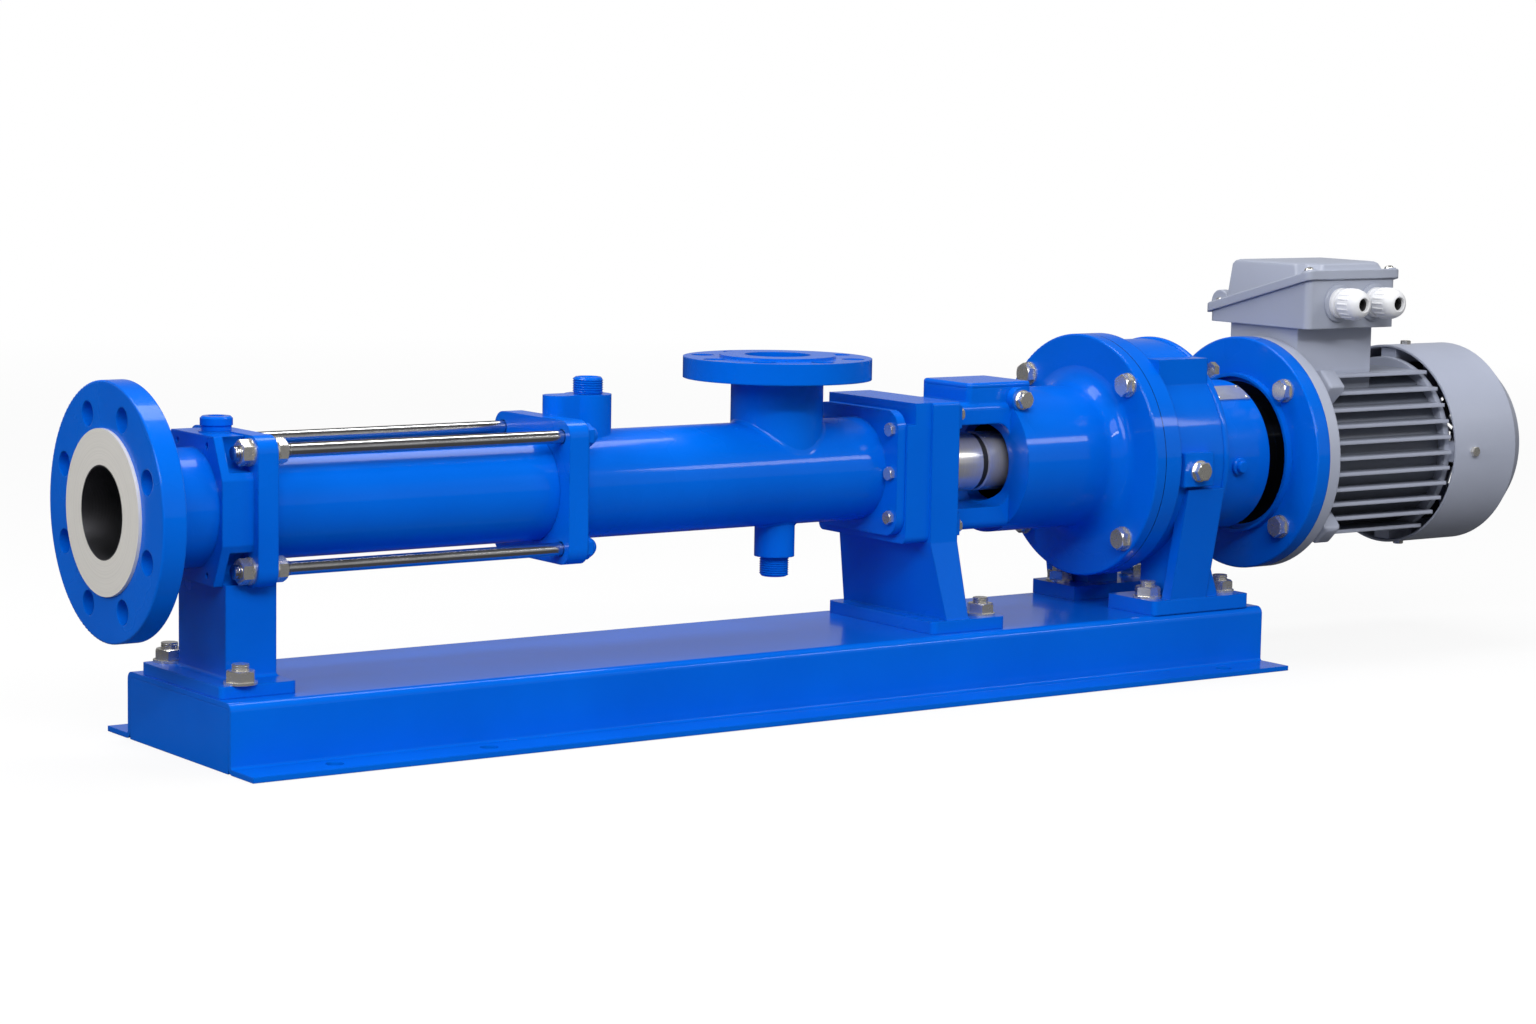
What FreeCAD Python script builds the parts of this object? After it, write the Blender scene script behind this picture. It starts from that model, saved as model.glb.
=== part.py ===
"""Progressive cavity pump on a baseplate, with a two stage gearbox and an electric motor.

Stations are distances along the pump axis from the face of the discharge flange, X towards the
motor, Y across, Z up from the pump axis.  Every piece is placed so that the part's origin is the
centre of the rectangle of corner foot holes, on the floor.
"""
import FreeCAD, Part
import Sketcher
import math
import os
import re

doc = FreeCAD.newDocument("progressive_cavity_pump")

# Driving dimensions in millimetres
DIMENSIONS = {
    "axis_height": 178.0,
    # Baseplate, a hat section bent from sheet
    "base_start": 58.0,
    "base_length": 970.0,
    "base_width": 164.0,
    "base_height": 50.0,
    "base_sheet": 4.0,
    "base_bend": 6.0,
    "base_lip": 34.0,
    "foot_hole_radius": 6.5,
    "foot_hole_spacing": 196.0,
    "foot_hole_inset_pump": 73.0,
    "foot_hole_inset_drive": 57.0,
    "foot_hole_pitch": 126.0,
    # Discharge flange and casing
    "discharge_flange_radius": 92.5,
    "discharge_flange_thickness": 18.0,
    "discharge_face_height": 2.5,
    "discharge_face_radius": 59.0,
    "discharge_bolt_circle": 72.5,
    "discharge_bore_radius": 32.5,
    "flange_hole_radius": 9.0,
    "liner_wall": 5.0,
    "neck_radius": 43.0,
    "neck_length": 49.0,
    "block_length": 24.5,
    "block_collar": 7.0,
    "block_half_width": 47.0,
    "block_half_height": 53.0,
    "block_flat": 23.0,
    "block_top_half_width": 33.0,
    "nut_recess_radius": 14.0,
    "block_screw_half_width": 23.0,
    "block_screw_level": 46.0,
    "block_screw_radius": 2.2,
    "block_screw_depth": 5.0,
    "flange_edge": 1.2,
    "neck_root_radius": 5.0,
    "foot_corner": 4.0,
    "casting_edge": 1.5,
    "foot_stud_height": 7.0,
    "rod_spacing": 84.0,
    "rod_radius": 5.0,
    "rod_plate_thickness": 16.5,
    "rod_ear_radius": 12.0,
    "rod_overhang": 14.0,
    "tie_nut_height": 8.0,
    "column_start": 77.0,
    "column_thickness": 40.0,
    "column_width": 74.0,
    "column_foot_length": 60.0,
    "column_foot_width": 126.0,
    "column_foot_thickness": 9.0,
    "column_bolt_spacing": 112.0,
    "column_bolt_inset": 2.0,
    "column_foot_shift": 7.0,
    "column_root_radius": 2.5,
    "vent_plug_radius": 11.7,
    "vent_plug_height": 10.5,
    "vent_plug_overhang": 5.5,
    # Stator and rotor
    "stator_radius": 40.5,
    "stator_wall": 5.0,
    "stator_length": 256.5,
    "stator_recess": 8.0,
    "rotor_radius": 15.7,
    "rotor_offset": 5.5,
    "rotor_pitch": 60.0,
    "rotor_play": 0.3,
    "joint_radius": 24.0,
    "joint_length": 34.0,
    "joint_ball_radius": 11.0,
    "joint_sleeve_wall": 2.5,
    "rod_neck_radius": 8.5,
    # Suction casing
    "casing_plate_thickness": 17.0,
    "casing_length": 312.0,
    "casing_radius": 41.2,
    "casing_wall": 6.0,
    "suction_distance": 226.0,
    "suction_flange_radius": 74.5,
    "suction_flange_thickness": 16.5,
    "suction_face_height": 2.0,
    "suction_face_radius": 46.0,
    "suction_face_level": 93.5,
    "suction_bolt_circle": 60.0,
    "suction_neck_radius": 36.5,
    "suction_bore_radius": 26.0,
    "boss_radius": 18.0,
    "boss_lobe_radius": 11.0,
    "boss_level": 69.0,
    "boss_distance": 49.5,
    "boss_lobe_distance": 22.5,
    "pipe_plug_radius": 11.8,
    "pipe_plug_height": 13.0,
    "drain_radius": 16.0,
    "drain_level": 66.0,
    "casing_flange_thickness": 8.0,
    "casing_flange_half_width": 56.0,
    "casing_flange_half_height": 50.0,
    "casing_screw_half_width": 47.5,
    "casing_screw_pitch": 35.0,
    # Seal bracket
    "bracket_pad_thickness": 23.0,
    "bracket_plate_thickness": 27.0,
    "bracket_half_width": 61.0,
    "bracket_half_height": 56.0,
    "bracket_leg_half_width": 69.0,
    "bracket_leg_lean": 14.0,
    "bracket_leg_taper": 7.0,
    "bracket_root_radius": 4.0,
    "bracket_foot_width": 142.0,
    "bracket_foot_length": 74.0,
    "bracket_foot_thickness": 10.0,
    "bracket_bolt_half_width": 54.0,
    "bracket_bolt_distance": 58.0,
    "seal_radius": 30.0,
    "seal_shaft_radius": 20.0,
    "shaft_radius": 24.3,
    "shaft_groove_station": 769.0,
    "shaft_groove_width": 5.0,
    "shaft_groove_depth": 1.3,
    # Lantern
    "lantern_length": 184.5,
    "lantern_window": 74.0,
    "lantern_radius": 59.0,
    "lantern_wall": 10.0,
    "lantern_arm_half_width": 34.0,
    "lantern_arm_outer": 52.0,
    "lantern_arm_inner": 34.0,
    "lantern_arm_round": 7.0,
    "lantern_flange_radius": 101.5,
    "lantern_flange_thickness": 10.5,
    "lantern_flare": 16.0,
    "lantern_bolt_circle": 90.0,
    "lantern_screw_half_width": 49.0,
    "lantern_screw_level": 45.0,
    "lantern_pad_start": 32.0,
    "lantern_pad_length": 66.0,
    "lantern_pad_half_width": 31.0,
    "lantern_pad_level": 63.2,
    "lantern_pad_round": 4.5,
    "lantern_cover_thickness": 4.0,
    "lantern_lug_station": 794.0,
    "lantern_lug_half_width": 39.5,
    "lantern_lug_level": 53.0,
    "lantern_lug_radius": 10.0,
    "lantern_end_wall": 10.0,
    "lantern_mouth_radius": 33.0,
    "lantern_window_round": 13.0,
    "bearing_radius": 42.5,
    "bearing_bore_radius": 22.5,
    "bearing_width": 19.0,
    "oil_seal_radius": 36.0,
    "oil_seal_width": 8.0,
    # Gearbox
    "gear_rim_thickness": 16.5,
    "gear_drum_radius": 95.5,
    "gear_drum_length": 52.0,
    "gear_wall": 12.5,
    "gear_cover_radius": 97.0,
    "gear_cover_thickness": 6.0,
    "input_drum_radius": 64.0,
    "input_drum_length": 77.0,
    "input_drum_wall": 8.0,
    "gear_boss_length": 11.0,
    "nameplate_length": 36.0,
    "nameplate_width": 20.0,
    "nameplate_thickness": 1.2,
    "nameplate_tilt": 52.0,
    "nameplate_inset": 3.5,
    "gear_module": 1.25,
    "output_teeth": 48.0,
    "pinion_teeth": 16.0,
    "input_wheel_teeth": 58.0,
    "output_wheel_width": 20.0,
    "input_wheel_width": 16.0,
    "layshaft_radius": 8.0,
    "layshaft_bearing_radius": 15.0,
    "gear_leg_half_width": 80.0,
    "gear_leg_start": 926.0,
    "gear_leg_length": 54.0,
    "gear_leg_relief": 6.5,
    "gear_leg_skin": 11.0,
    "gear_leg_top": 22.0,
    "gear_leg_inset": 3.0,
    "gear_foot_start": 908.0,
    "gear_foot_length": 106.0,
    "gear_foot_inner": 22.0,
    "gear_foot_thickness": 12.0,
    "gear_lug_half_width": 61.0,
    "gear_lug_level": 73.0,
    "gear_lug_size": 22.0,
    "fill_plug_level": -6.0,
    "gear_bolt_inset": 12.5,
    "gear_bolt_half_width": 57.0,
    # Motor
    "adaptor_gap": 20.0,
    "adaptor_thickness": 14.5,
    "adaptor_neck_radius": 50.0,
    "adaptor_lip_radius": 69.0,
    "motor_flange_radius": 100.5,
    "motor_flange_thickness": 13.0,
    "motor_bolt_circle": 82.5,
    "motor_frame_radius": 70.0,
    "motor_frame_bore": 62.0,
    "motor_frame_length": 153.5,
    "fin_radius": 86.0,
    "fin_pitch": 13.6,
    "fin_thickness": 3.2,
    "fin_inset": 12.0,
    "fan_cover_radius": 88.5,
    "fan_cover_length": 100.0,
    "fan_cover_sheet": 2.0,
    "cover_screw_distance": 20.0,
    "rear_bearing_radius": 26.0,
    "motor_shaft_radius": 12.0,
    "motor_rotor_radius": 38.0,
    "motor_air_gap": 0.5,
    "terminal_length": 104.0,
    "terminal_inset": 5.0,
    "terminal_half_width": 62.0,
    "terminal_floor": 104.0,
    "terminal_near_level": 146.0,
    "terminal_far_level": 112.0,
    "terminal_wall": 4.0,
    "lid_level": 160.0,
    "gland_level": 126.0,
    "gland_spacing": 42.0,
    "gland_radius": 13.0,
    # Fasteners, as the radii of their shanks
    "foot_bolt_radius": 6.0,
    "flange_bolt_radius": 5.0,
    "small_screw_radius": 3.0,
    "lug_bolt_radius": 4.0,
    "fill_plug_radius": 4.5,
    "cover_screw_radius": 2.5,
    "washer_thickness": 1.8,
    # Fits shared by several pieces
    "hole_clearance": 0.5,
    "running_clearance": 0.05,
    "seat_clearance": 0.1,
}

# Places worked out from the driving dimensions
PLACES = {
    "floor_level": "0 - axis_height",
    "base_top": "base_height - axis_height",
    "datum": "base_start + (base_length + foot_hole_inset_pump - foot_hole_inset_drive) / 2",
    "flange_back": "discharge_face_height + discharge_flange_thickness",
    "block_start": "flange_back + neck_length",
    "rod_plate_start": "block_start + block_length",
    "rod_plate_end": "rod_plate_start + rod_plate_thickness",
    "vent_plug_station": "rod_plate_start - vent_plug_overhang",
    "rod_half": "rod_spacing / 2",
    "plate_half": "rod_half + rod_ear_radius",
    "liner_radius": "discharge_bore_radius + liner_wall",
    "stator_start": "rod_plate_end - stator_recess",
    "stator_end": "stator_start + stator_length",
    "casing_start": "stator_end - stator_recess",
    "casing_plate_end": "casing_start + casing_plate_thickness",
    "casing_end": "casing_start + casing_length",
    "casing_flange_start": "casing_end - casing_flange_thickness",
    "suction_station": "casing_start + suction_distance",
    "boss_station": "casing_start + boss_distance",
    "slot_half_width": "rotor_radius + rotor_play",
    "slot_half_reach": "2 * rotor_offset + slot_half_width",
    "rotor_head_start": "stator_end + 12",
    "rotor_head_end": "rotor_head_start + joint_length",
    "rotor_ball_station": "rotor_head_end - joint_length / 2",
    "bracket_start": "casing_end",
    "bracket_plate_start": "bracket_start + bracket_pad_thickness",
    "bracket_end": "bracket_plate_start + bracket_plate_thickness",
    "shaft_head_end": "bracket_start - 10",
    "shaft_head_start": "shaft_head_end - joint_length",
    "shaft_ball_station": "shaft_head_start + joint_length / 2",
    "lantern_end": "bracket_end + lantern_length",
    "lantern_tube_start": "bracket_end + lantern_window",
    "lantern_flange_start": "lantern_end - lantern_flange_thickness",
    "output_bearing_end": "lantern_end - 6",
    "output_bearing_middle": "output_bearing_end - bearing_width - 3",
    "oil_seal_start": "output_bearing_middle - bearing_width - oil_seal_width - 2",
    "gear_rim_end": "lantern_end + gear_rim_thickness",
    "fill_plug_station": "gear_rim_end + 19",
    "gear_drum_end": "gear_rim_end + gear_drum_length",
    "gear_cover_end": "gear_drum_end + gear_cover_thickness",
    "input_drum_end": "gear_cover_end + input_drum_length",
    "pinion_pitch_radius": "gear_module * pinion_teeth / 2",
    "output_pitch_radius": "gear_module * output_teeth / 2",
    "input_pitch_radius": "gear_module * input_wheel_teeth / 2",
    "cover_bolt_circle": "gear_drum_radius - gear_wall / 2",
    "layshaft_level": "pinion_pitch_radius + output_pitch_radius",
    "input_level": "layshaft_level - pinion_pitch_radius - input_pitch_radius",
    "output_wheel_start": "lantern_end + 12",
    "input_wheel_start": "output_wheel_start + output_wheel_width + 6",
    "input_wheel_end": "input_wheel_start + input_wheel_width",
    "adaptor_start": "input_drum_end + adaptor_gap",
    "adaptor_end": "adaptor_start + adaptor_thickness",
    "motor_flange_end": "adaptor_end + motor_flange_thickness",
    "motor_frame_end": "motor_flange_end + motor_frame_length",
    "fan_cover_end": "motor_frame_end + fan_cover_length",
    "terminal_start": "adaptor_end + terminal_inset",
    "terminal_end": "terminal_start + terminal_length",
}

# The sheet of dimensions
sheet = doc.addObject("Spreadsheet::Sheet", "dims")
for row, (name, size) in enumerate(DIMENSIONS.items(), 1):
    sheet.set(f"A{row}", name)
    sheet.set(f"B{row}", str(size))
    sheet.setAlias(f"B{row}", name)
doc.recompute()

WORD = re.compile(r"[a-z][a-z_]*")


def bound(text):
    """The expression for a size: worked out places are written out, sizes point at the sheet."""
    def swap(match):
        word = match.group(0)
        if word in PLACES:
            return "(" + bound(PLACES[word]) + ")"
        if word in DIMENSIONS:
            return "dims." + word
        return word
    return WORD.sub(swap, str(text))


def number(text):
    """The present value of an expression."""
    return float(sheet.evalExpression(bound(text)))


pieces = {}


def keep(label, item):
    """Name a finished piece and put it at its place from the part's origin."""
    item.Label = label
    item.setExpression("Placement.Base.x", bound("0 - datum"))
    item.setExpression("Placement.Base.z", bound("axis_height"))
    pieces[label] = item
    return item


def circle(across, up, radius):
    return ("circle", across, up, radius)


def box(left, low, right, high):
    return [(left, low), (right, low), (right, high), (left, high)]


def four_circles(across, up, radius):
    """Equal circles at the four corners of a rectangle about the pump axis."""
    sides = (across, f"0 - ({across})")
    levels = (up, f"0 - ({up})")
    return [circle(side, level, radius) for side in sides for level in levels]


def two_circles(station, across, radius):
    """Equal circles on both sides of the pump axis at a station."""
    return [circle(station, side, radius) for side in (across, f"0 - ({across})")]


def mirrored_outline(points):
    """A closed outline symmetric about the upright axis from the points of its right half."""
    flipped = [(f"0 - ({across})", up) for across, up in reversed(points)]
    return points + flipped


class Body:
    """A piece built from sketches and features whose sizes are read from the sheet."""

    def __init__(self, label):
        self.label = label
        self.body = doc.addObject("PartDesign::Body", label)
        self.steps = 0

    def name(self, kind):
        self.steps += 1
        return f"{self.label}_{kind}_{self.steps}"

    def origin(self, role):
        return next(item for item in self.body.Origin.OriginFeatures if item.Role == role)

    def sketch(self, plane, loops, shift=("0", "0", "0")):
        """A sketch on an origin plane, shifted in the plane and along its normal."""
        drawing = self.body.newObject("Sketcher::SketchObject", self.name("sketch"))
        drawing.AttachmentSupport = [(self.origin(plane), "")]
        drawing.MapMode = "FlatFace"
        for letter, text in zip("xyz", shift):
            if text != "0":
                drawing.setExpression(f"AttachmentOffset.Base.{letter}", bound(text))
        for loop in loops:
            if loop[0] == "circle":
                self.draw_circle(drawing, loop)
            else:
                self.draw_outline(drawing, loop)
        return drawing

    def pin(self, drawing, geometry, point, place):
        """Hold a point of the sketch at a place given by two expressions."""
        for kind, text in zip(("DistanceX", "DistanceY"), place):
            rule = Sketcher.Constraint(kind, -1, 1, geometry, point, number(text))
            index = drawing.addConstraint(rule)
            drawing.setExpression(f"Constraints[{index}]", bound(text))

    def draw_circle(self, drawing, loop):
        across, up, radius = loop[1:]
        middle = FreeCAD.Vector(number(across), number(up), 0)
        normal = FreeCAD.Vector(0, 0, 1)
        geometry = drawing.addGeometry(Part.Circle(middle, normal, number(radius)), False)
        self.pin(drawing, geometry, 3, (across, up))
        index = drawing.addConstraint(Sketcher.Constraint("Radius", geometry, number(radius)))
        drawing.setExpression(f"Constraints[{index}]", bound(radius))

    def draw_outline(self, drawing, points):
        corners = [FreeCAD.Vector(number(across), number(up), 0) for across, up in points]
        following = corners[1:] + corners[:1]
        lines = [Part.LineSegment(start, end) for start, end in zip(corners, following)]
        first = drawing.addGeometry(lines, False)[0]
        count = len(points)
        for step in range(count):
            joined = Sketcher.Constraint("Coincident", first + step, 2, first + (step + 1) % count, 1)
            drawing.addConstraint(joined)
        for step, place in enumerate(points):
            self.pin(drawing, first + step, 1, place)

    def grow(self, kind, drawing, length, reverse):
        feature = self.body.newObject(kind, self.name(kind.split("::")[1].lower()))
        feature.Profile = drawing
        feature.setExpression("Length", bound(length))
        feature.Reversed = reverse
        self.body.Tip = feature
        return feature

    def pad(self, plane, loops, length, shift=("0", "0", "0"), reverse=False):
        return self.grow("PartDesign::Pad", self.sketch(plane, loops, shift), length, reverse)

    def along(self, loops, start, end):
        """A pad along the pump axis between two stations."""
        return self.pad("YZ_Plane", loops, f"({end}) - ({start})", ("0", "0", start))

    def cut(self, plane, loops, length, shift=("0", "0", "0"), reverse=False):
        before = self.volume()
        drawing = self.sketch(plane, loops, shift)
        feature = self.grow("PartDesign::Pocket", drawing, length, reverse)
        after = self.volume()
        if after >= before:
            raise RuntimeError(f"{feature.Name} removed nothing")
        return feature

    def cut_along(self, loops, start, end):
        """A pocket along the pump axis between two stations."""
        return self.cut("YZ_Plane", loops, f"({end}) - ({start})", ("0", "0", end))

    def spin(self, kind, plane, points, axis, shift):
        feature = self.body.newObject(kind, self.name(kind.split("::")[1].lower()))
        drawing = self.sketch(plane, [points], shift)
        feature.Profile = drawing
        feature.ReferenceAxis = (drawing, [axis])
        feature.Angle = 360
        self.body.Tip = feature
        return feature

    def turn(self, points, level="0"):
        """A solid turned about a line along X at the given level, from (station, radius) points."""
        return self.spin("PartDesign::Revolution", "XZ_Plane", points, "H_Axis", ("0", level, "0"))

    def bore(self, points, level="0"):
        """A turned cut about a line along X at the given level."""
        return self.spin("PartDesign::Groove", "XZ_Plane", points, "H_Axis", ("0", level, "0"))

    def turn_upright(self, points, station):
        """A solid turned about an upright line at a station, from (radius, level) points."""
        shift = (station, "0", "0")
        return self.spin("PartDesign::Revolution", "XZ_Plane", points, "V_Axis", shift)

    def repeat(self, feature, count, level="0"):
        """Copies of a feature spaced evenly about the line along X at the given level."""
        drawing = self.sketch("YZ_Plane", [], ("0", level, "0"))
        pattern = self.body.newObject("PartDesign::PolarPattern", self.name("pattern"))
        pattern.Originals = [feature]
        pattern.Axis = (drawing, ["N_Axis"])
        pattern.Angle = 360
        pattern.Occurrences = count
        self.body.Tip = pattern
        return pattern

    def repeat_upright(self, feature, count, station):
        drawing = self.sketch("XY_Plane", [], (station, "0", "0"))
        pattern = self.body.newObject("PartDesign::PolarPattern", self.name("pattern"))
        pattern.Originals = [feature]
        pattern.Axis = (drawing, ["N_Axis"])
        pattern.Angle = 360
        pattern.Occurrences = count
        self.body.Tip = pattern
        return pattern

    def volume(self):
        doc.recompute()
        return self.body.Tip.Shape.Volume

    def fillet(self, radius, test, kind="Fillet"):
        """Round every edge for which the test, given its two ends and middle, is true."""
        doc.recompute()
        base = self.body.Tip
        names = [f"Edge{index}" for index, edge in enumerate(base.Shape.Edges, 1) if test(edge)]
        if not names:
            raise RuntimeError(f"{self.label} has no such edge")
        feature = self.body.newObject("PartDesign::" + kind, self.name(kind.lower()))
        feature.Base = (base, names)
        feature.setExpression("Radius" if kind == "Fillet" else "Size", bound(radius))
        self.body.Tip = feature
        doc.recompute()
        if "Invalid" in feature.State or feature.Shape.isNull() or not feature.Shape.isValid():
            raise RuntimeError(f"{feature.Name} could not be rounded")
        return feature

    def done(self):
        return keep(self.label, self.body)


def middle(edge):
    return edge.valueAt((edge.FirstParameter + edge.LastParameter) / 2)


def straight_along(edge, axis):
    """Whether an edge is a straight line along the X, Y or Z direction."""
    if edge.Curve.TypeId != "Part::GeomLine":
        return False
    return abs(getattr(edge.tangentAt(edge.FirstParameter), axis)) > 0.999


def round_about(edge, station, radius):
    """Whether an edge is a circle about a line along X, at a station and with a radius."""
    if edge.Curve.TypeId != "Part::GeomCircle":
        return False
    return abs(edge.Curve.Center.x - station) < 0.01 and abs(edge.Curve.Radius - radius) < 0.01


def near(value, text):
    return abs(value - number(text)) < 0.02


def polar(radius, degrees, level="0"):
    """Expressions for a point on a circle about the axis, counted from the near side upwards."""
    return (f"0 - ({radius}) * cos({degrees})", f"({level}) + ({radius}) * sin({degrees})")


AIMS = {
    "up": FreeCAD.Rotation(),
    "back": FreeCAD.Rotation(FreeCAD.Vector(0, 0, 1), FreeCAD.Vector(-1, 0, 0)),
    "ahead": FreeCAD.Rotation(FreeCAD.Vector(0, 0, 1), FreeCAD.Vector(1, 0, 0)),
    "near": FreeCAD.Rotation(FreeCAD.Vector(0, 0, 1), FreeCAD.Vector(0, -1, 0)),
    "far": FreeCAD.Rotation(FreeCAD.Vector(0, 0, 1), FreeCAD.Vector(0, 1, 0)),
    "down": FreeCAD.Rotation(FreeCAD.Vector(1, 0, 0), 180),
}


def hexagon(name, across_flats, start, height):
    prism = doc.addObject("Part::Prism", name)
    prism.Polygon = 6
    prism.setExpression("Circumradius", bound(f"({across_flats}) / sqrt(3)"))
    prism.setExpression("Height", bound(height))
    prism.setExpression("Placement.Base.z", bound(start))
    return prism


def rounded_hexagon(name, across_flats, start, height):
    """A hexagon whose top corners are turned off, as on a bolt head or a nut."""
    prism = hexagon(name + "_hexagon", across_flats, start, height)
    cone = doc.addObject("Part::Cone", name + "_cone")
    cone.setExpression("Radius1", bound(f"({across_flats}) / 2 + ({height}) * sqrt(3)"))
    cone.setExpression("Radius2", bound(f"({across_flats}) * 0.48"))
    cone.setExpression("Height", bound(height))
    cone.setExpression("Placement.Base.z", bound(start))
    both = doc.addObject("Part::Common", name)
    both.Base = prism
    both.Tool = cone
    return both


def rod(name, radius, start, height):
    cylinder = doc.addObject("Part::Cylinder", name)
    cylinder.setExpression("Radius", bound(radius))
    cylinder.setExpression("Height", bound(height))
    cylinder.setExpression("Placement.Base.z", bound(start))
    return cylinder


def joined(name, solids):
    union = doc.addObject("Part::MultiFuse", name)
    union.Shapes = solids
    return union


def bolt(name, radius, shank, washer=True, stud="0"):
    """A bolt that points up with the underside of its washer at zero."""
    seat = "washer_thickness" if washer else "0"
    head = rounded_hexagon(name + "_head", f"{radius} * 3.24", seat, f"{radius} * 1.32")
    solids = [head, rod(name + "_shank", radius, f"0 - ({shank})", f"({shank}) + {radius}")]
    if washer:
        solids.append(rod(name + "_washer", f"{radius} * 2", "0", seat))
    if stud != "0":
        solids.append(rod(name + "_stud", radius, f"{radius} * 1.2", stud))
    return joined(name, solids)


def group(label, template, places):
    """One node of equal solids of one kind, from (aim, (x, y, z)) places."""
    return gathered(label, [(template, aim, place) for aim, place in places])


def gathered(label, entries):
    """One node of several solids, each a copy of its template turned to its aim."""
    links = []
    for count, (template, aim, place) in enumerate(entries, 1):
        link = doc.addObject("App::Link", f"{label}_{count}")
        link.LinkedObject = template
        link.Placement = FreeCAD.Placement(FreeCAD.Vector(), AIMS[aim])
        for letter, text in zip("xyz", place):
            link.setExpression(f"Placement.Base.{letter}", bound(text))
        links.append(link)
    compound = doc.addObject("Part::Compound", label + "_group")
    compound.Links = links
    return keep(label, compound)


# Baseplate


def foot_hole_stations():
    first = "base_start + foot_hole_inset_pump"
    last = "base_start + base_length - foot_hole_inset_drive"
    return [first, first + " + foot_hole_pitch", last]


def foot_bolt_places():
    """Stations and half widths of the bolts that hold the three feet."""
    bracket_bolt = "bracket_plate_start + bracket_bolt_distance"
    gear_first = "gear_foot_start + gear_bolt_inset"
    gear_last = "gear_foot_start + gear_foot_length - gear_bolt_inset"
    return [
        ("column_start + column_bolt_inset", "column_bolt_spacing / 2", "column_foot_thickness"),
        (bracket_bolt, "bracket_bolt_half_width", "bracket_foot_thickness"),
        (gear_first, "gear_bolt_half_width", "gear_foot_thickness"),
        (gear_last, "gear_bolt_half_width", "gear_foot_thickness"),
    ]


def make_baseplate():
    half = "base_width / 2"
    inner = "base_width / 2 - base_sheet"
    lip = "base_width / 2 + base_lip"
    under = "base_top - base_sheet"
    over = "floor_level + base_sheet"
    right_half = [(lip, "floor_level"), (lip, over), (half, over), (half, "base_top")]
    left_half = [(f"0 - ({across})", up) for across, up in reversed(right_half)]
    inside = [(f"0 - ({inner})", "floor_level"), (f"0 - ({inner})", under), (inner, under)]
    profile = right_half + left_half + inside + [(inner, "floor_level")]
    plate = Body("baseplate")
    plate.along([profile], "base_start", "base_start + base_length")

    def outer_bend(edge):
        place = middle(edge)
        top_bend = near(abs(place.y), half) and near(place.z, "base_top")
        foot_bend = near(abs(place.y), inner) and near(place.z, "floor_level")
        return straight_along(edge, "x") and (top_bend or foot_bend)

    def inner_bend(edge):
        place = middle(edge)
        top_bend = near(abs(place.y), inner) and near(place.z, under)
        foot_bend = near(abs(place.y), half) and near(place.z, over)
        return straight_along(edge, "x") and (top_bend or foot_bend)

    plate.fillet("base_bend", outer_bend)
    plate.fillet("base_bend - base_sheet", inner_bend)
    holes = []
    for station in foot_hole_stations():
        for side in ("foot_hole_spacing / 2", "0 - foot_hole_spacing / 2"):
            holes.append(circle(station, side, "foot_hole_radius"))
    plate.cut("XY_Plane", holes, "base_sheet + 2", ("0", "0", "floor_level + base_sheet + 1"))
    holes = []
    for station, half_width, _ in foot_bolt_places():
        holes += two_circles(station, half_width, "foot_bolt_radius + hole_clearance")
    plate.cut("XY_Plane", holes, "base_sheet + 2", ("0", "0", "base_top + 1"))
    plate.done()


def make_base_end_plate(label, start):
    inner = "base_width / 2 - base_sheet"
    end_plate = Body(label)
    outline = box(f"0 - ({inner})", "floor_level", inner, "base_top - base_sheet")
    end_plate.along([outline], start, f"({start}) + base_sheet")

    def top_corner(edge):
        return straight_along(edge, "x") and near(middle(edge).z, "base_top - base_sheet")

    end_plate.fillet("base_bend - base_sheet", top_corner)
    end_plate.done()


# Discharge end


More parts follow.
